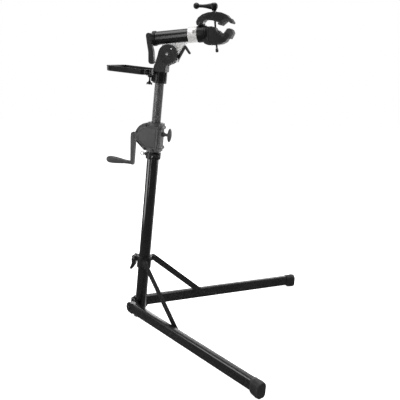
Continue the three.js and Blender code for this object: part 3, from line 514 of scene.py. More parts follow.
def hex_head(across, axis, at, seat, out, height):
    """A hexagon head with its corners turned off on the free face."""
    low, high = sorted([seat, seat + out * height])
    reach = across / math.sqrt(3)
    cone = [(0, seat), (reach * 1.1, seat), (reach * 1.1, seat + out * height * 0.55),
            (across * 0.44, seat + out * height), (0, seat + out * height)]
    return common(slab(hexagon(at, across), low, high, axis), turned(cone, axis, at))


# ------------------------------------------------------------------ mast foot and lower tube
def side_point(side, along, off):
    """A point at a distance along a leg's direction and off square to it, away from the middle plane."""
    x = along * math.cos(LEG_SPREAD) - off * math.sin(LEG_SPREAD)
    y = along * math.sin(LEG_SPREAD) + off * math.cos(LEG_SPREAD)
    return (x, side * y)


def build_mast_foot():
    plate_in, plate_out, plate_front, plate_low, plate_high = 26.5, 30.5, 44, 28, 78
    inner_apex = -plate_in / math.tan(LEG_SPREAD)
    outer_back = (-46.5 + plate_out * math.sin(LEG_SPREAD)) / math.cos(LEG_SPREAD)
    vee = [
        side_point(1, outer_back, plate_out),
        side_point(-1, outer_back, plate_out),
        side_point(-1, plate_front, plate_out),
        side_point(-1, plate_front, plate_in),
        side_point(-1, inner_apex, plate_in),
        side_point(1, plate_front, plate_in),
        side_point(1, plate_front, plate_out),
    ]
    floor = [
        side_point(1, outer_back, plate_out - 1),
        side_point(-1, outer_back, plate_out - 1),
        side_point(-1, plate_front, plate_out - 1),
        side_point(1, plate_front, plate_out - 1),
    ]
    walls = join(slab(vee, plate_low, plate_high, "z"), slab(floor, plate_low, 34, "z"))
    slope = slab([(-20, plate_high + 1), (60, plate_high + 1), (60, plate_high - 22)], -70, 70)
    bores = []
    for side in SIDES.values():
        bore = rod(5.3, *flank(side, 24, 32), "y", (0, LEG_PIVOT_UP))
        bores.append(moved(bore, Matrix.Rotation(side * LEG_SPREAD, 4, "Z")))
    stand_in("base_bracket", cut(walls, slope, *bores), MAST, 0.8)

    tread = [(0, -10), (26, -10), (27, 2), (25.6, 5), (25.6, 8), (27, 10), (26.4, 14), (25, 17), (25, 20),
             (24.6, 27.7), (0, 27.7)]
    sole = turned(rounded(tread, 1.2, closed=False), sides=96)
    stand_in("base_foot", cut(sole, under_floor(MAST)), MAST, 0.5)

    for word, side in SIDES.items():
        place = MAST @ Matrix.Rotation(side * LEG_SPREAD, 4, "Z")
        seat = side * (LEG_PLANE + LEG_WIDE / 2 + GAP)
        at = (0, LEG_PIVOT_UP)
        shank = rod(5, *sorted([side * 25.8, seat + side]), "y", at)
        bolt = join(shank, button_head(9, 4.9, 6, "y", at, seat, side))
        stand_in(f"pivot_bolt_{word}", bolt, place, 0.3)


def build_lower_mast():
    wall = [(MAST_R - MAST_WALL, MAST_BOTTOM), (MAST_R, MAST_BOTTOM), (MAST_R, MAST_TOP),
            (MAST_R - MAST_WALL, MAST_TOP)]
    tube = turned(rounded(wall, 0.6, steps=3), sides=128)
    stand_in("lower_mast_tube", cut(tube, rod(3.9, -30, -15, "x", (0, PIN_UP))), MAST, 0)


# ------------------------------------------------------------------ legs
def leg_section(wide, tall, corner, x, drop=0.0):
    """A rounded section across the leg at x, its middle lowered by drop."""
    return [spot("x", y, z, x) for y, z in rounded_box(wide, tall, corner, 10, (0, -drop))]


def boot_sections(back):
    """Sections of a rubber boot, from its lip at back, over the grooves, to its toe."""
    sections = [
        leg_section(34, 51, 10.5, back),
        leg_section(35.5, 53, 11.5, back + 1.5, 0.6),
        leg_section(39, 60, 16, back + 10, 4),
    ]
    for k in range(4):
        x = back + 13 + 6 * k
        swell = 0.7 * k
        for step, inset in [(0, 0), (0.8, 1.6), (2.2, 1.6), (3, 0)]:
            wide, tall = 39 + swell - inset, 60.6 + 1.4 * swell - inset
            sections.append(leg_section(wide, tall, 16.5, x + step, 4 + 0.3 * k))
    sections.append(leg_section(41, 64, 19, LEG_REACH - 7, 5))
    sections.append(leg_section(40, 63, 19, LEG_REACH - 2.5, 5))
    sections.append(leg_section(37, 60, 18, LEG_REACH, 5))
    return sections


def build_leg(word, side):
    place = leg_frame(side)
    half, wall, heel_front = LEG_WIDE / 2, 2, 22
    inner = (LEG_WIDE - 2 * wall, LEG_TALL - 2 * wall, LEG_CORNER - wall)
    boot_back = LEG_REACH - BOOT_LONG

    end = arc((0, 0), LEG_TALL / 2, math.pi / 2, 1.5 * math.pi, 32)
    shell = slab([*end, (heel_front, -LEG_TALL / 2), (heel_front, LEG_TALL / 2)], -half, half)
    spigot_outline = rounded_box(inner[0] - 0.6, inner[1] - 0.6, inner[2])
    spigot = slab(spigot_outline, heel_front - 4, heel_front + 26, "x")
    heel = cut(join(shell, spigot), rod(5.3, -half - 1, half + 1, "y"))
    stand_in(f"leg_heel_{word}", heel, place, 2.2)

    tube = cut(
        slab(rounded_box(LEG_WIDE, LEG_TALL, LEG_CORNER, 12), heel_front + GAP, TUBE_END, "x"),
        slab(rounded_box(*inner, 12), 0, LEG_REACH, "x"),
        rod(4.3, -half - 1, half + 1, "y", (STRUT_FOOT, 0)),
    )
    stand_in(f"leg_tube_{word}", tube, place, 0.3)

    seat = side * (half + GAP)
    shank = rod(4, *sorted([-side * half, seat + side]), "y", (STRUT_FOOT, 0))
    bolt = join(shank, button_head(6.5, 3, 4, "y", (STRUT_FOOT, 0), seat, side))
    stand_in(f"leg_bolt_{word}", bolt, place, 0.25)

    socket_outline = rounded_box(LEG_WIDE + 0.6, LEG_TALL + 0.6, LEG_CORNER)
    socket = slab(socket_outline, boot_back - 1, TUBE_END + GAP, "x")
    boot = cut(skin(boot_sections(boot_back)), socket, under_floor(place))
    stand_in(f"leg_boot_{word}", boot, place, 0.6)


# ------------------------------------------------------------------ collar and struts
def build_collar():
    bore = MAST_R + 0.4
    body = ring(31.5, bore, COLLAR_LOW, COLLAR_HIGH)
    band = ring(33.5, bore, COLLAR_HIGH - 9, COLLAR_HIGH)
    extras = []
    for side in SIDES.values():
        lug = slab(capsule((22, STRUT_TOP[1] - 6), 17, STRUT_TOP, 12), *flank(side, 19, 26))
        extras.append(moved(lug, Matrix.Rotation(side * LEG_SPREAD, 4, "Z")))
        ear = rounded([(CAM[0] - 8, CAM[1] - 10), (-24, CAM[1] - 10), (-24, COLLAR_HIGH - 3),
                       (CAM[0] - 8, COLLAR_HIGH - 3)], 4)
        extras.append(slab(ear, side * 14.5 - 2.2, side * 14.5 + 2.2))
    holes = [
        rod(bore, COLLAR_LOW - 1, COLLAR_HIGH + 1, sides=96),
        rod(4.3, -18, 18, "y", CAM),
        block(-60, -20, -1.5, 1.5, COLLAR_LOW - 1, COLLAR_HIGH + 1),
    ]
    for side in SIDES.values():
        hole = rod(5.3, *flank(side, 17, 28), "y", STRUT_TOP)
        holes.append(moved(hole, Matrix.Rotation(side * LEG_SPREAD, 4, "Z")))
    stand_in("slide_collar", cut(join(body, band, *extras), *holes), MAST, 1.0)

    shank = rod(4, -18, 18, "y", CAM)
    bolt = join(shank, button_head(7, 3, 4, "y", CAM, -17, -1))
    stand_in("collar_cam_bolt", bolt, MAST, 0.2)

    half = 11.8
    back, up = CAM
    lever = join(
        rod(11, -half, half, "y", CAM),
        slab(capsule((back - 2, up - 8), 9.5, (back - 1, up - 32), 8), -half, half),
        slab(capsule((back - 1, up - 32), 8, (back - 10, up - 52), 6), -half, half),
    )
    stand_in("collar_lever", cut(lever, rod(4.4, -13, 13, "y", CAM)), MAST, 1.2)


def build_strut(word, side):
    place = side_frame(side)
    foot = (STRUT_FOOT * math.cos(LEG_RISE), LEG_PIVOT_UP + STRUT_FOOT * math.sin(LEG_RISE))
    half = STRUT_WIDE / 2
    near, far = side * STRUT_IN, side * (STRUT_IN + STRUT_THICK)
    bar = slab(capsule(STRUT_TOP, half, foot, half, 28), *sorted([near, far]))
    bores = [rod(5.3, *sorted([near - side * 6, near + side * 6]), "y", end) for end in (STRUT_TOP, foot)]
    stand_in(f"strut_{word}", cut(bar, *bores), place, 0.9)

    flush = far + side * 0.2
    for name, at, seat, height in [("collar_pin", STRUT_TOP, 18.7, 3), ("strut_pin", foot, 26, 3.3)]:
        shank = rod(5, *sorted([side * (seat - 1), flush]), "y", at)
        pin = join(shank, button_head(8, height, 4.5, "y", at, side * seat, -side))
        stand_in(f"{name}_{word}", pin, place, 0.2)


# ------------------------------------------------------------------ mast clamp ring and lock pin
def build_mast_clamp():
    low, high, bolt_at = 737, 766, (39, PIN_UP - 2)
    turned_ears = Matrix.Rotation(math.radians(-58), 4, "Z")
    rim = turned(rounded([(MAST_R + GAP, low), (32, low), (32, high), (MAST_R + GAP, high)], 1.5), sides=96)
    ears = slab(rounded([(29, low + 2), (47, low + 2), (47, high - 4), (29, high - 4)], 4), -11, 11)
    body = join(rim, moved(ears, turned_ears), rod(7.5, -36.5, -28, "x", (0, PIN_UP)))
    holes = [
        moved(block(20, 60, -1.5, 1.5, low - 1, high + 1), turned_ears),
        moved(rod(3.9, -15, 15, "y", bolt_at), turned_ears),
        rod(4.3, -45, -20, "x", (0, PIN_UP)),
        rod(MAST_R + GAP, low - 1, high + 1, sides=96),
    ]
    stand_in("mast_clamp_ring", cut(body, *holes), MAST, 0.9)

    shank = rod(3.6, -13, 14, "y", bolt_at)
    washer = ring(8.2, 3.4, -12.4, -11.3, "y", bolt_at)
    bolt = join(shank, washer, hex_head(12, "y", bolt_at, -12.2, -1, 4.8))
    stand_in("mast_clamp_bolt", bolt, MAST @ turned_ears, 0.25)

    eye = -41.3
    pin = turned([(0, -24.2), (3.1, -24.2), (3.5, -25), (3.5, -36.9), (5, -36.9), (5, -44.9), (4.2, -45.7),
                  (0, -45.7)], "x", (0, PIN_UP))
    stand_in("lock_pin", cut(pin, rod(3.2, -8 + PIN_UP, 8 + PIN_UP, "z", (eye, 0))), MAST, 0.3)

    around, tube_sides, hoop_r, wire = 72, 16, 8.4, 1.2
    middle = eye - hoop_r
    points, faces = [], []
    for i in range(around):
        turn = TURN * i / around
        for r, up in disc((hoop_r, 0), wire, tube_sides):
            points.append((middle + r * math.cos(turn), up, PIN_UP + r * math.sin(turn)))
        for k in range(tube_sides):
            n = (k + 1) % tube_sides
            here, ahead = i * tube_sides, ((i + 1) % around) * tube_sides
            faces.append([here + k, ahead + k, ahead + n, here + n])
    stand_in("pull_ring", closed_mesh(points, faces), MAST, 0)


# ------------------------------------------------------------------ gear case
CASE_SCREWS = [(-31, 878), (-72, 847), (-69, 806), (-31, 781), (8, 779), (29, 871)]
SCREW_SEAT = 19.6
SCREW_SEAT_BY_MAST = 26
SCREW_HEAD_R = 4.3
SCREW_HEAD_TALL = 3.6
CASE_SPLIT = 0.15


def case_outline(inset):
    arc_r = 61 - inset
    bend = arc((-22, DRIVE_UP), arc_r, math.pi / 2, math.radians(200), 48)
    points = [(32 - inset, CASE_LOW + 2 + inset), (32 - inset, DRIVE_UP + arc_r)]
    points += bend
    points.append((-36 + inset * 0.3, CASE_LOW + 2 + inset))
    return points


def screw_seat(at):
    """How far out a screw's head sits: where the lower mast tube passes, the head sits outside the tube."""
    return SCREW_SEAT_BY_MAST if abs(at[0]) < MAST_R and at[1] < MAST_TOP else SCREW_SEAT


def build_case_screw(name, side, at):
    depth = screw_seat(at)
    seat = side * depth
    profile = [(0, seat), (SCREW_HEAD_R, seat), (SCREW_HEAD_R, seat + side * SCREW_HEAD_TALL),
               (0, seat + side * SCREW_HEAD_TALL)]
    barrel = turned(rounded(profile, 0.6, closed=False), "y", at, 40)
    head = cut(barrel, slab(hexagon(at, 4), *flank(side, depth + 1.8, depth + 6), "y"))
    screw = join(head, rod(2.9, *flank(side, depth - 1.2, depth + 0.4), "y", at, 32))
    show(name, screw, MAST, "base", "satin_black", 0.15)


def build_case_half(word, side):
    whole = join(
        slab(case_outline(0), *flank(side, CASE_SPLIT, 24)),
        slab(case_outline(12), *flank(side, CASE_SPLIT, CASE_HALF)),
        rod(32, CASE_LOW, CASE_HIGH, sides=96),
        rod(14, -88, -70, "x", (0, DRIVE_UP)),
        rod(10, 26, 42, "x", (0, BRAKE_UP)),
        *[rod(8, *flank(side, CASE_SPLIT, 24), "y", (31, up)) for up in (874, 788)],
    )
    panel = cut(
        slab(rounded(case_outline(17), 3), *flank(side, CASE_HALF - 1.4, CASE_HALF + 1)),
        slab(rounded(case_outline(20.5), 3), *flank(side, CASE_HALF - 2, CASE_HALF + 2)),
    )
    other_half = block(-120, 80, *flank(side, CASE_SPLIT, -60), 700, 950)
    hollows = [
        rod(46, -29.3, 29.3, "y", (-DRIVE_BACK, DRIVE_UP)),
        rod(27.5, -75, -40, "x", (0, DRIVE_UP)),
        rod(7.4, -100, -60, "x", (0, DRIVE_UP)),
        rod(6.4, -31.4, 31.4, "y", (-DRIVE_BACK, DRIVE_UP)),
        rod(4.4, 10, 60, "x", (0, BRAKE_UP)),
        rod(UPPER_R + 0.5, CASE_LOW, CASE_HIGH + 5, sides=96),
        rod(MAST_R + GAP, CASE_LOW - 5, MAST_TOP + GAP, sides=96),
    ]
    screw_holes = [rod(3.2, *flank(side, -1, 40), "y", at, 32) for at in CASE_SCREWS]
    head_holes = [
        rod(SCREW_HEAD_R + 0.3, *flank(side, screw_seat(at) - 0.1, 40), "y", at, 40) for at in CASE_SCREWS
    ]
    shell = cut(whole, other_half, panel, *hollows, *screw_holes, *head_holes)
    stand_in(f"gear_case_{word}", shell, MAST, 1.1)

    for number, at in enumerate(CASE_SCREWS, 1):
        build_case_screw(f"case_screw_{word}_{number}", side, at)


# ------------------------------------------------------------------ crank, grip and brake
def build_crank():
    from_side = [
        (-90, DRIVE_UP + 12), (-104, DRIVE_UP + 10), (-105, DRIVE_UP - 10), (-98, CRANK_LOW - 9),
        (-84, CRANK_LOW - 9), (-85, DRIVE_UP - 40), (-90, DRIVE_UP - 14),
    ]
    from_back = capsule((0, DRIVE_UP), 12.5, (0, CRANK_LOW), 9, 28)
    blade = common(slab(rounded(from_side, 14), -20, 12), slab(from_back, -120, -70, "x"))
    groove = slab(capsule((0, DRIVE_UP - 26), 5, (0, CRANK_LOW + 20), 3.4), -120, -101.6, "x")
    bores = [rod(6.3, -102, -80, "x", (0, DRIVE_UP)), rod(4.3, -110, -80, "x", (0, CRANK_LOW))]
    stand_in("crank_arm", cut(blade, groove, *bores), MAST, 1.6)

    screw = button_head(7, 3.4, 5, "x", (0, DRIVE_UP), -103.6, -1)
    trim = rod(20, -107, -100, "x", (0, DRIVE_UP))
    show("crank_screw", common(screw, trim), MAST, "crank", "satin_black", 0.2)

    stand_in("grip_spindle", rod(4, -205, -84, "x", (0, CRANK_LOW), 48), MAST, 0.4)
    profile = [(8, 99), (8.4, 108), (8.5, 118), (9.4, 130), (11, 140), (12.8, 154), (14.5, 168),
               (15.3, 178), (15.5, 188), (14.9, 196), (13.4, 203), (9.6, 209), (5, 211.6), (0, 212)]
    outside = [(r, -x) for r, x in profile]
    hollow = rod(4.8, -207.5, -98, "x", (0, CRANK_LOW), 48)
    solid = turned([(0, -99), *rounded(outside, 3, closed=False)], "x", (0, CRANK_LOW), 72)
    groove_floor, groove_back, groove_front, pitch = 7.3, -105.8, -104.2, 3.6
    grooves = [
        ring(20, groove_floor, groove_back - pitch * k, groove_front - pitch * k, "x", (0, CRANK_LOW))
        for k in range(3)
    ]
    stand_in("crank_grip", cut(solid, hollow, *grooves), MAST, 0.25)


def build_brake():
    stand_in("brake_screw", rod(4, UPPER_R + 0.9, 54, "x", (0, BRAKE_UP), 48), MAST, 0.3)
    wing = common(
        slab(ellipse((64, BRAKE_UP), 8, 29.5), -20, 20),
        slab(ellipse((0, BRAKE_UP), 7, 30), 40, 80, "x"),
    )
    stem = turned([(0, 44), (7, 44), (6.5, 50), (6.5, 62), (0, 62)], "x", (0, BRAKE_UP))
    stand_in("brake_knob", cut(join(wing, stem), rod(4.2, 40, 55, "x", (0, BRAKE_UP))), MAST, 1.4)


# ------------------------------------------------------------------ upper mast and neck
def fluted_outline():
    """Fine round flutes cut into the tube, with narrow lands between them."""
    points = []
    steps = 10
    for i in range(FLUTES * steps):
        turn = TURN * i / (FLUTES * steps)
        wave = 0.5 - 0.5 * math.cos(turn * FLUTES)
        r = UPPER_R - 0.85 * wave ** 1.5
        points.append((r * math.cos(turn), r * math.sin(turn)))
    return points


def build_upper_mast():
    slot_half, slot_floor = 4.3, -12.4
    whole = slab(fluted_outline(), UPPER_BOTTOM, UPPER_TOP, "z")
    hollow = common(
        rod(UPPER_BORE, UPPER_BOTTOM - 1, UPPER_TOP + 1, sides=96),
        block(-9.4, 20, -16, 16, UPPER_BOTTOM - 1, UPPER_TOP + 1),
    )
    slot = block(-25, slot_floor, -slot_half, slot_half, UPPER_BOTTOM - 1, UPPER_TOP + 1)
    stand_in("upper_mast_tube", cut(whole, hollow, slot), MAST, 0)


def build_neck():
    low, top, cheek_in, cheek_out = 1057, 1131, 9.8, 25
    cheek = [(-24, 1112), (29, 1112), (29, top), (TILT_OUT + 27, TILT_UP - 29), (TILT_OUT + 30, TILT_UP),
             (TILT_OUT - 38, TILT_UP + 8)]
    forms = []
    for side in SIDES.values():
        span = flank(side, cheek_in, cheek_out)
        forms.append(rod(CHEEK_R, *span, "y", (TILT_OUT, TILT_UP), 96))
        forms.append(slab(rounded(cheek, 4), *span))
    body = join(
        rod(23.5, low, top - 6, sides=96),
        ring(27, UPPER_R + GAP, low, low + 9),
        block(18, 28.5, -6, 6, low, top - 4),
        block(-29.5, -18, -6, 6, low, top - 8),
        block(-22, 29, -cheek_out, cheek_out, 1104, top),
        *forms,
    )
    tools = [
        rod(UPPER_R + GAP, low - 1, UPPER_TOP + GAP, sides=96),
        rod(6.3, -30, 30, "y", (TILT_OUT, TILT_UP)),
        rod(4.3, -30, -18, "y", (TILT_OUT + 15, TILT_UP + 24)),
    ]
    for turn in (-32, -44, -56, -68):
        x = TILT_OUT + (CHEEK_R + 0.5) * math.cos(math.radians(turn))
        z = TILT_UP + (CHEEK_R + 0.5) * math.sin(math.radians(turn))
        tools.append(rod(3, -30, 30, "y", (x, z), 32))
    for side in SIDES.values():
        span = flank(side, cheek_out - 0.8, cheek_out + 1)
        tools.append(ring(CHEEK_R - 4, 13, *span, "y", (TILT_OUT, TILT_UP)))
    stand_in("neck_bracket", cut(body, *tools), MAST, 1.5)

    at = (TILT_OUT, TILT_UP)
    bolt = join(
        rod(6, -26, 26, "y", at),
        button_head(7.4, 3.7, 5, "y", at, -25.3, -1),
        button_head(7.4, 3.7, 5, "y", at, 25.3, 1),
    )
    stand_in("tilt_bolt", bolt, MAST, 0.25)
    stand_in("stop_pin", rod(4, -27.5, -18.3, "y", (TILT_OUT + 15, TILT_UP + 24), 40), MAST, 0.6)


# ------------------------------------------------------------------ tool tray
def build_tray():
    wall, long = 3, TRAY_FRONT - TRAY_BACK
    middle = (TRAY_FRONT + TRAY_BACK) / 2

    def level(inset, up):
        box = rounded_box(long - 2 * inset, 2 * (TRAY_HALF - inset), 18 - inset, 10, (middle, 0))
        return [(x, y, up) for x, y in box]

    outside = skin([
        level(5, TRAY_FLOOR), level(2, TRAY_FLOOR + 2), level(1.4, TRAY_FLOOR + 8),
        level(0, TRAY_FLOOR + 9), level(0, TRAY_FLOOR + 11), level(1.2, TRAY_FLOOR + 12),
        level(1, TRAY_RIM - 4),
        level(-1.4, TRAY_RIM - 3), level(-1.4, TRAY_RIM - 0.4), level(-1, TRAY_RIM),
    ])
    inside = skin([
        level(6, TRAY_FLOOR + wall), level(4, TRAY_FLOOR + wall + 1.5), level(2.6, TRAY_RIM - 1),
        level(2.2, TRAY_RIM + 1),
    ])
    holes = [rod(3.9, TRAY_FLOOR - 5, TRAY_FLOOR + 10, at=(TRAY_SCREW, 0))]
    holes += [rod(5, TRAY_FLOOR - 5, TRAY_FLOOR + 10, at=(-170, y)) for y in (-60, 60)]
    grooves = []
    for k in range(-5, 6):
        y = 17 * k
        lines = rounded_box(long - 52, 5, 2.4, 6, (middle - 6, y))
        grooves.append(slab(lines, TRAY_FLOOR + wall - 0.8, TRAY_FLOOR + wall + 3, "z"))
    stand_in("tool_tray", cut(outside, inside, *holes, *grooves), MAST, 0.5)

    body = join(
        block(TRAY_SCREW - 14, -29.8, -13, 13, 1082.5, TRAY_FLOOR - GAP),
        block(-34, -29.8, -13, 13, 1062, TRAY_FLOOR - GAP),
        rod(9, 1076, 1084, at=(TRAY_SCREW, 0)),
    )
    stand_in("tray_bracket", cut(body, rod(3.9, 1060, 1100, at=(TRAY_SCREW, 0))), MAST, 0.9)

    outline = [(0, 1046), (5, 1046), (6.5, 1052), (5, 1060), (3.5, 1062), (3.5, 1090.5), (0, 1090.5)]
    wing = [(4, 1050), (12, 1044), (12, 1053), (3, 1059)]
    wings = [(TRAY_SCREW + x, up) for x, up in wing] + [(TRAY_SCREW - x, up) for x, up in reversed(wing)]
    stem = turned(rounded(outline, 2, closed=False), at=(TRAY_SCREW, 0))
    screw = join(stem, slab(rounded(wings, 1.5), -2, 2))
    stand_in("thumb_screw", screw, MAST, 0.5)


# ------------------------------------------------------------------ clamp arm
def build_arm():
    half = 9.4
    at = (0, ARM_OFF)
    web = [(-28, 18), (-22, 54), (96, 54), (92, 40), (66, 33), (27, -14)]
    body = join(
        rod(21.6, SLEEVE_BACK, RING_FRONT, "x", at, 96),
        turned(rounded([(0, RING_BACK), (RING_R, RING_BACK), (RING_R, RING_FRONT), (0, RING_FRONT)], 1.6,
                       closed=False), "x", at, 128),
        rod(33, -half, half, "y", sides=96),
        slab(rounded(web, 5), -half, half),
        slab(capsule((10, -8), 20, LATCH_HUB, 8), -half, half),
    )
    pockets = []
    for side in SIDES.values():
        recess = rounded([(42, 14), (60, 37), (86, 43), (82, 50), (30, 50), (34, 28)], 4)
        pockets.append(slab(recess, *flank(side, half - 3, half + 1)))
    tools = [
        rod(6.3, -20, 20, "y"),
        rod(10.3, 50, RING_FRONT + 5, "x", at),
        block(113, RING_FRONT + 1, -40, -21, ARM_OFF + 3, ARM_OFF + 17),
        slab(capsule((26, -18), 15, (46, -38), 15), -5.6, 5.6),
        rod(3.3, -20, 20, "y", LATCH_HUB),
    ]
    stand_in("arm_casting", cut(body, *tools, *pockets), ARM, 0.9)

    sleeve = [(22, SLEEVE_BACK), (26, SLEEVE_BACK), (SLEEVE_R, SLEEVE_BACK + 1.2),
              (SLEEVE_R, RING_BACK - 1.4), (26, RING_BACK - GAP), (22, RING_BACK - GAP)]
    shell = turned(sleeve, "x", at, 128)
    slot = block(-36, 100, -half - GAP, half + GAP, 0, ARM_OFF)
    stand_in("arm_sleeve", cut(shell, slot), ARM, 0.3)

    front = SLEEVE_BACK - GAP
    profile = [(0, front), (CAP_R, front), (CAP_R, front - 3), (CAP_R - 1.4, front - 4),
               (CAP_R - 1.4, front - 5.4), (CAP_R, front - 6.4), (CAP_R, CAP_BACK + 6),
               (CAP_R - 6, CAP_BACK), (0, CAP_BACK)]
    cap = turned(rounded(profile, 1.2, closed=False), "x", at, 128)
    lug = slab(capsule((CAP_BACK + 5, LEVER_PIN[1]), 6.5, LEVER_PIN, 5), -5, 5)
    stand_in("rear_cap", cut(join(cap, lug), rod(3.4, -10, 10, "y", LEVER_PIN)), ARM, 0.7)


def build_levers():
    grip = join(
        rod(8.5, -5.2, 5.2, "y", LATCH_HUB),
        slab(capsule(LATCH_HUB, 7, (70.5, 26), 5), -4.5, 4.5),
        slab(capsule((70.5, 26), 5, (87, -2), 4), -4.5, 4.5),
        rod(3, -9, 9, "y", LATCH_HUB, 40),
    )
    stand_in("tilt_latch", grip, ARM, 1.1)

    half, (back, up), waist = 11, LEVER_PIN, (-75, 18)
    blade = join(
        slab(capsule(LEVER_PIN, 11, (back - 1.5, 58), 8.5), -half, half),
        slab(capsule((back - 1.5, 58), 8.5, waist, 10.5), -half, half),
        slab(capsule(waist, 10.5, (-77, -20), 12), -half, half),
    )
    room = []
    for turn in (0, math.pi / 4, math.pi / 2):
        far = (back + 15 * math.cos(turn), up + 15 * math.sin(turn))
        room.append(slab(capsule(LEVER_PIN, 7.6, far, 7.6), -5.4, 5.4))
    lever = join(cut(blade, *room), rod(3, -9, 9, "y", LEVER_PIN, 40))
    stand_in("rear_lever", lever, ARM, 2.0)


# ------------------------------------------------------------------ clamp head
LOWER_JAW = [(150, 38), (157, 26), (172, 19), (206, 16.5), (226, 19), (243, 26), (253, 37), (259, 48),
             (255, 58), (247, 60), (238, 48), (231, 46), (212, 66), (204, 84), (190, 90), (150, 90)]
LOWER_DISH = [(174, 28), (206, 23), (226, 25), (241, 33), (246, 42), (230, 42), (207, 62), (200, 80),
              (176, 82)]
LOWER_PAD = [(212.5, 66.7), (231.2, 46.4), (237.8, 48.4), (246.8, 60.4), (255.3, 58.4), (259.4, 48),
             (253.6, 37), (262, 35), (275.5, 56), (272, 68), (263, 75.5), (252, 75), (232.7, 54.6),
             (214, 74)]
UPPER_JAW = [(131, 98), (129, 112), (138, 127), (156, 138), (180, 143.5), (208, 143.5), (234, 138),
             (254, 127), (264, 114), (259, 108), (252, 112), (228, 98), (216, 103), (206, 107),
             (190, 113), (166, 116), (158, 110), (155, 99)]
UPPER_DISH = [(160, 124), (184, 123), (214, 112), (229, 106), (248, 118), (230, 129), (206, 134),
              (182, 134), (164, 130)]
UPPER_PAD = [(217, 102.2), (228, 97.6), (252, 111.6), (259.2, 107.6), (264.4, 114), (270, 112), (279, 96),
             (275, 91), (267, 94), (254, 105.4), (230, 88.8), (217, 94)]


def side_dishes(outline):
    """Shallow recesses of one outline, in both flanks of a jaw."""
    shape = rounded(outline, 5)
    return [slab(shape, *flank(side, JAW_HALF - 1.6, JAW_HALF + 2)) for side in SIDES.values()]


def ribs_between(start, end, count, radius=1.1):
    """Round grooves across a pad, along the line from start to end."""
    grooves = []
    for k in range(count):
        share = (k + 0.5) / count
        at = (start[0] + share * (end[0] - start[0]), start[1] + share * (end[1] - start[1]))
        grooves.append(rod(radius, -JAW_HALF - 3, JAW_HALF + 3, "y", at, 20))
    return grooves


def build_head():
    at = (0, ARM_OFF - JAW_LIFT)
    face = RING_FRONT + 0.6
    step = HEAD_FRONT - 9
    profile = [(0, face), (HEAD_R - 1, face), (HEAD_R, face + 1), (HEAD_R, step), (HEAD_R - 2, step + 1.4),
               (HEAD_R - 2, HEAD_FRONT - 3), (HEAD_R - 5, HEAD_FRONT), (0, HEAD_FRONT)]
    body = join(
        turned(rounded(profile, 0.8, closed=False, steps=3), "x", at, 96),
        rod(10, 60, RING_FRONT + 2, "x", at),
        slab(rounded(LOWER_JAW, 7), -JAW_HALF, JAW_HALF),
        slab(capsule(HINGE, 10, (HINGE[0], 84), 12), -8.8, 8.8),
    )
    tools = [rod(4.3, -20, 20, "y", HINGE), rod(4.9, 0, 120, at=(SCREW_OUT, 0))]
    stand_in("clamp_head", cut(body, *tools, *side_dishes(LOWER_DISH)), JAWS, 1.2)

    pad = slab(rounded(LOWER_PAD, 4), -JAW_HALF - 1, JAW_HALF + 1)
    grooves = ribs_between((231.5, 53.4), (214.5, 72), 6) + ribs_between((234.6, 56.4), (251, 73.6), 6)
    stand_in("lower_jaw_pad", cut(pad, *grooves), JAWS, 0.8)

    pin = join(
        rod(4, -25, 25, "y", HINGE),
        button_head(6, 1.7, 3.5, "y", HINGE, -24.3, -1),
        button_head(6, 1.7, 3.5, "y", HINGE, 24.3, 1),
    )
    stand_in("jaw_pin", pin, JAWS, 0.2)


def build_upper_jaw():
    tools = [
        block(193, 214, -5.6, 5.6, 90, 150),
        slab(capsule(HINGE, 12.5, (HINGE[0], 80), 18), -9.2, 9.2),
        rod(4.4, -30, 30, "y", HINGE),
        rod(HEAD_R + 2.8, 110, HEAD_FRONT + 1, "x", (0, ARM_OFF - JAW_LIFT), 96),
    ]
    bow = slab(rounded(UPPER_JAW, 7), -JAW_HALF, JAW_HALF)
    stand_in("upper_jaw", cut(bow, *tools, *side_dishes(UPPER_DISH)), JAWS, 1.4)

    pad = slab(rounded(UPPER_PAD, 4), -JAW_HALF - 1, JAW_HALF + 1)
    grooves = ribs_between((232, 90), (253, 104.4), 6) + ribs_between((255, 104.8), (266, 95), 3)
    stand_in("upper_jaw_pad", cut(pad, *grooves), JAWS, 0.8)


def threaded_rod(radius, low, high, pitch, depth, sides=28):
    """A rod with a helical thread: each ring's radius follows a wave that climbs as it turns."""
    rows = []
    per_turn = 6
    count = int((high - low) / pitch * per_turn)
    for k in range(count + 1):
        up = low + (high - low) * k / count
        row = []
        for i in range(sides):
            turn = TURN * i / sides
            phase = (up / pitch - i / sides) % 1
            wave = min(1, max(0, 3 * abs(phase - 0.5) - 0.25))
            r = radius - depth * wave
            row.append((r * math.cos(turn), r * math.sin(turn), up))
        rows.append(row)
    return skin(rows)


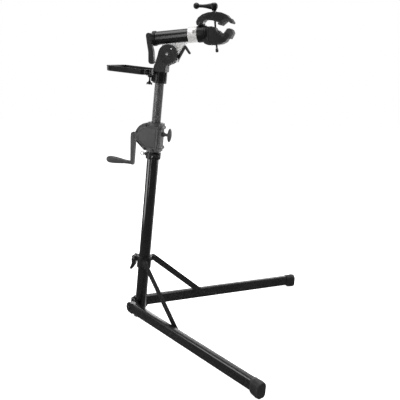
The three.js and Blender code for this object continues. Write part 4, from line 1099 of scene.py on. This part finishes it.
def build_clamp_screw():
    screw = moved(threaded_rod(4.5, 3.3, 150, 3, 0.7), shift(SCREW_OUT, 0, 0))
    stand_in("clamp_screw", screw, JAWS, 0)
    at = (SCREW_OUT, 0)
    washer = turned(rounded([(4.8, 145.6), (9, 145.6), (9, 148.4), (4.8, 148.4)], 0.5, steps=3), at=at)
    stand_in("thrust_washer", washer, JAWS, 0)
    tip = turned(rounded([(0, -11), (4, -11), (6, -8), (6, 3), (0, 3)], 1.2, closed=False), at=at)
    stand_in("screw_tip", tip, JAWS, 0)

    hub_profile = [(0, 148.7), (6.9, 148.7), (9, 150.6), (13, 156), (15.9, 165), (14, 174), (8, 179),
                   (0, 180)]
    hub = turned(rounded(hub_profile, 3, closed=False), at=at)
    hub_up = 165
    ball_x, ball_up, ball_r = 130, 174.6, 12.5
    rise = math.atan2(ball_up - hub_up, ball_x - SCREW_OUT)
    long = math.hypot(ball_up - hub_up, ball_x - SCREW_OUT)
    blade_profile = [(0, 0), (11.5, 0), (11.5, 14), (8, 30), (6.2, 46), (6.4, long - 4), (0, long - 4)]
    blade = turned(rounded(blade_profile, 4, closed=False))
    blade.transform(shift(SCREW_OUT, 0, hub_up) @ Matrix.Rotation(math.pi / 2 - rise, 4, "Y"))
    ball = turned(arc((0, ball_up), ball_r, -math.pi / 2, math.pi / 2, 32), at=(ball_x, 0))
    stand_in("screw_handle", join(hub, blade, ball), JAWS, 1.0)


# ------------------------------------------------------------------ assembly
build_mast_foot()
build_lower_mast()
for side_word, side_sign in SIDES.items():
    build_leg(side_word, side_sign)
    build_strut(side_word, side_sign)
    build_case_half(side_word, side_sign)
build_collar()
build_mast_clamp()
build_crank()
build_brake()
build_upper_mast()
build_neck()
build_tray()
build_arm()
build_levers()
build_head()
build_upper_jaw()
build_clamp_screw()

for node_name, cad_node in NODES.items():
    if not cad_node.hide_render:
        dress(cad_node, NODE_SLOT[node_name], 0.3)


# ------------------------------------------------------------------ studio
FLOOR_HALF = 8
FLOOR_GLOW = 0.86


def build_floor():
    half = FLOOR_HALF
    mesh = bpy.data.meshes.new("studio_floor")
    corners = [(-half, -half, 0), (half, -half, 0), (half, half, 0), (-half, half, 0)]
    mesh.from_pydata(corners, [], [(0, 1, 2, 3)])
    floor = bpy.data.objects.new("studio_floor", mesh)
    bpy.context.scene.collection.objects.link(floor)
    look = finish("studio_floor", grey(0.86), grey(0.88), (0.75, 0.85), grain=40, bump=0.02)
    shader = look.node_tree.nodes["Principled BSDF"]
    shader.inputs["Emission Color"].default_value = (1, 1, 1, 1)
    shader.inputs["Emission Strength"].default_value = FLOOR_GLOW
    mesh.materials.append(look)
    floor.visible_glossy = False


def area_light(name, at, toward, size, power):
    data = bpy.data.lights.new(name, "AREA")
    data.shape = "RECTANGLE"
    data.size, data.size_y = size
    data.energy = power
    lamp = bpy.data.objects.new(name, data)
    lamp.location = at
    aim = Vector(toward) - Vector(at)
    lamp.rotation_euler = aim.to_track_quat("-Z", "Y").to_euler()
    lamp.visible_camera = False
    bpy.context.scene.collection.objects.link(lamp)


def build_lights():
    middle = (0.1, 0, 0.75)
    area_light("key_left", (-2.4, -1.3, 1.1), middle, (1.5, 2.4), 46)
    area_light("strip_left", (-0.65, -2.85, 1.3), middle, (0.2, 2.4), 10)
    area_light("strip_back", (-0.3, 3.0, 1.1), (0.4, 0, 0.05), (3.0, 0.5), 22)
    area_light("strip_right", (2.6, 1.3, 1.2), middle, (0.6, 2.2), 18)
    area_light("overhead", (0.3, -0.2, 3.0), middle, (2.4, 2.4), 60)
    area_light("back_left", (-1.8, 2.2, 1.6), middle, (0.8, 2.0), 13)
    area_light("back_right", (2.4, 2.0, 1.6), middle, (0.8, 2.0), 13)


def build_world():
    """White behind the object, with a dimmer studio dome for light and reflections."""
    world = bpy.data.worlds.new("studio")
    world.use_nodes = True
    tree = world.node_tree
    back = tree.nodes["Background"]
    path = tree.nodes.new("ShaderNodeLightPath")
    coords = tree.nodes.new("ShaderNodeTexCoord")
    direction = tree.nodes.new("ShaderNodeSeparateXYZ")
    tree.links.new(coords.outputs["Generated"], direction.inputs[0])
    behind = spread(tree, direction.outputs["Y"], 0.3, 0.75, 0.0, 0.65)
    above = spread(tree, direction.outputs["Z"], 0.55, 0.95, 0.10, 0.40)
    dome = computed(tree, "ADD", behind, above)
    seen = computed(tree, "MAXIMUM", dome, path.outputs["Is Camera Ray"])
    tree.links.new(seen, back.inputs["Strength"])
    back.inputs["Color"].default_value = (1, 1, 1, 1)
    bpy.context.scene.world = world


CAMERA_AZIMUTH = math.radians(20.72)
CAMERA_DISTANCE = 2.515
CAMERA_HEIGHT = 1.14
CAMERA_HEADING = math.radians(14.35)
CAMERA_PITCH = math.radians(13.4)
CAMERA_LENS = 52.5
CAMERA_SENSOR = 36


def build_camera():
    data = bpy.data.cameras.new("camera")
    data.lens = CAMERA_LENS
    data.sensor_width = CAMERA_SENSOR
    camera = bpy.data.objects.new("camera", data)
    camera.location = (
        CAMERA_DISTANCE * math.sin(CAMERA_AZIMUTH),
        -CAMERA_DISTANCE * math.cos(CAMERA_AZIMUTH),
        CAMERA_HEIGHT,
    )
    camera.rotation_euler = (math.pi / 2 - CAMERA_PITCH, 0, CAMERA_HEADING)
    bpy.context.scene.collection.objects.link(camera)
    bpy.context.scene.camera = camera


build_floor()
build_lights()
build_world()
build_camera()
bpy.context.scene.view_settings.view_transform = "Standard"

bpy.context.view_layer.update()
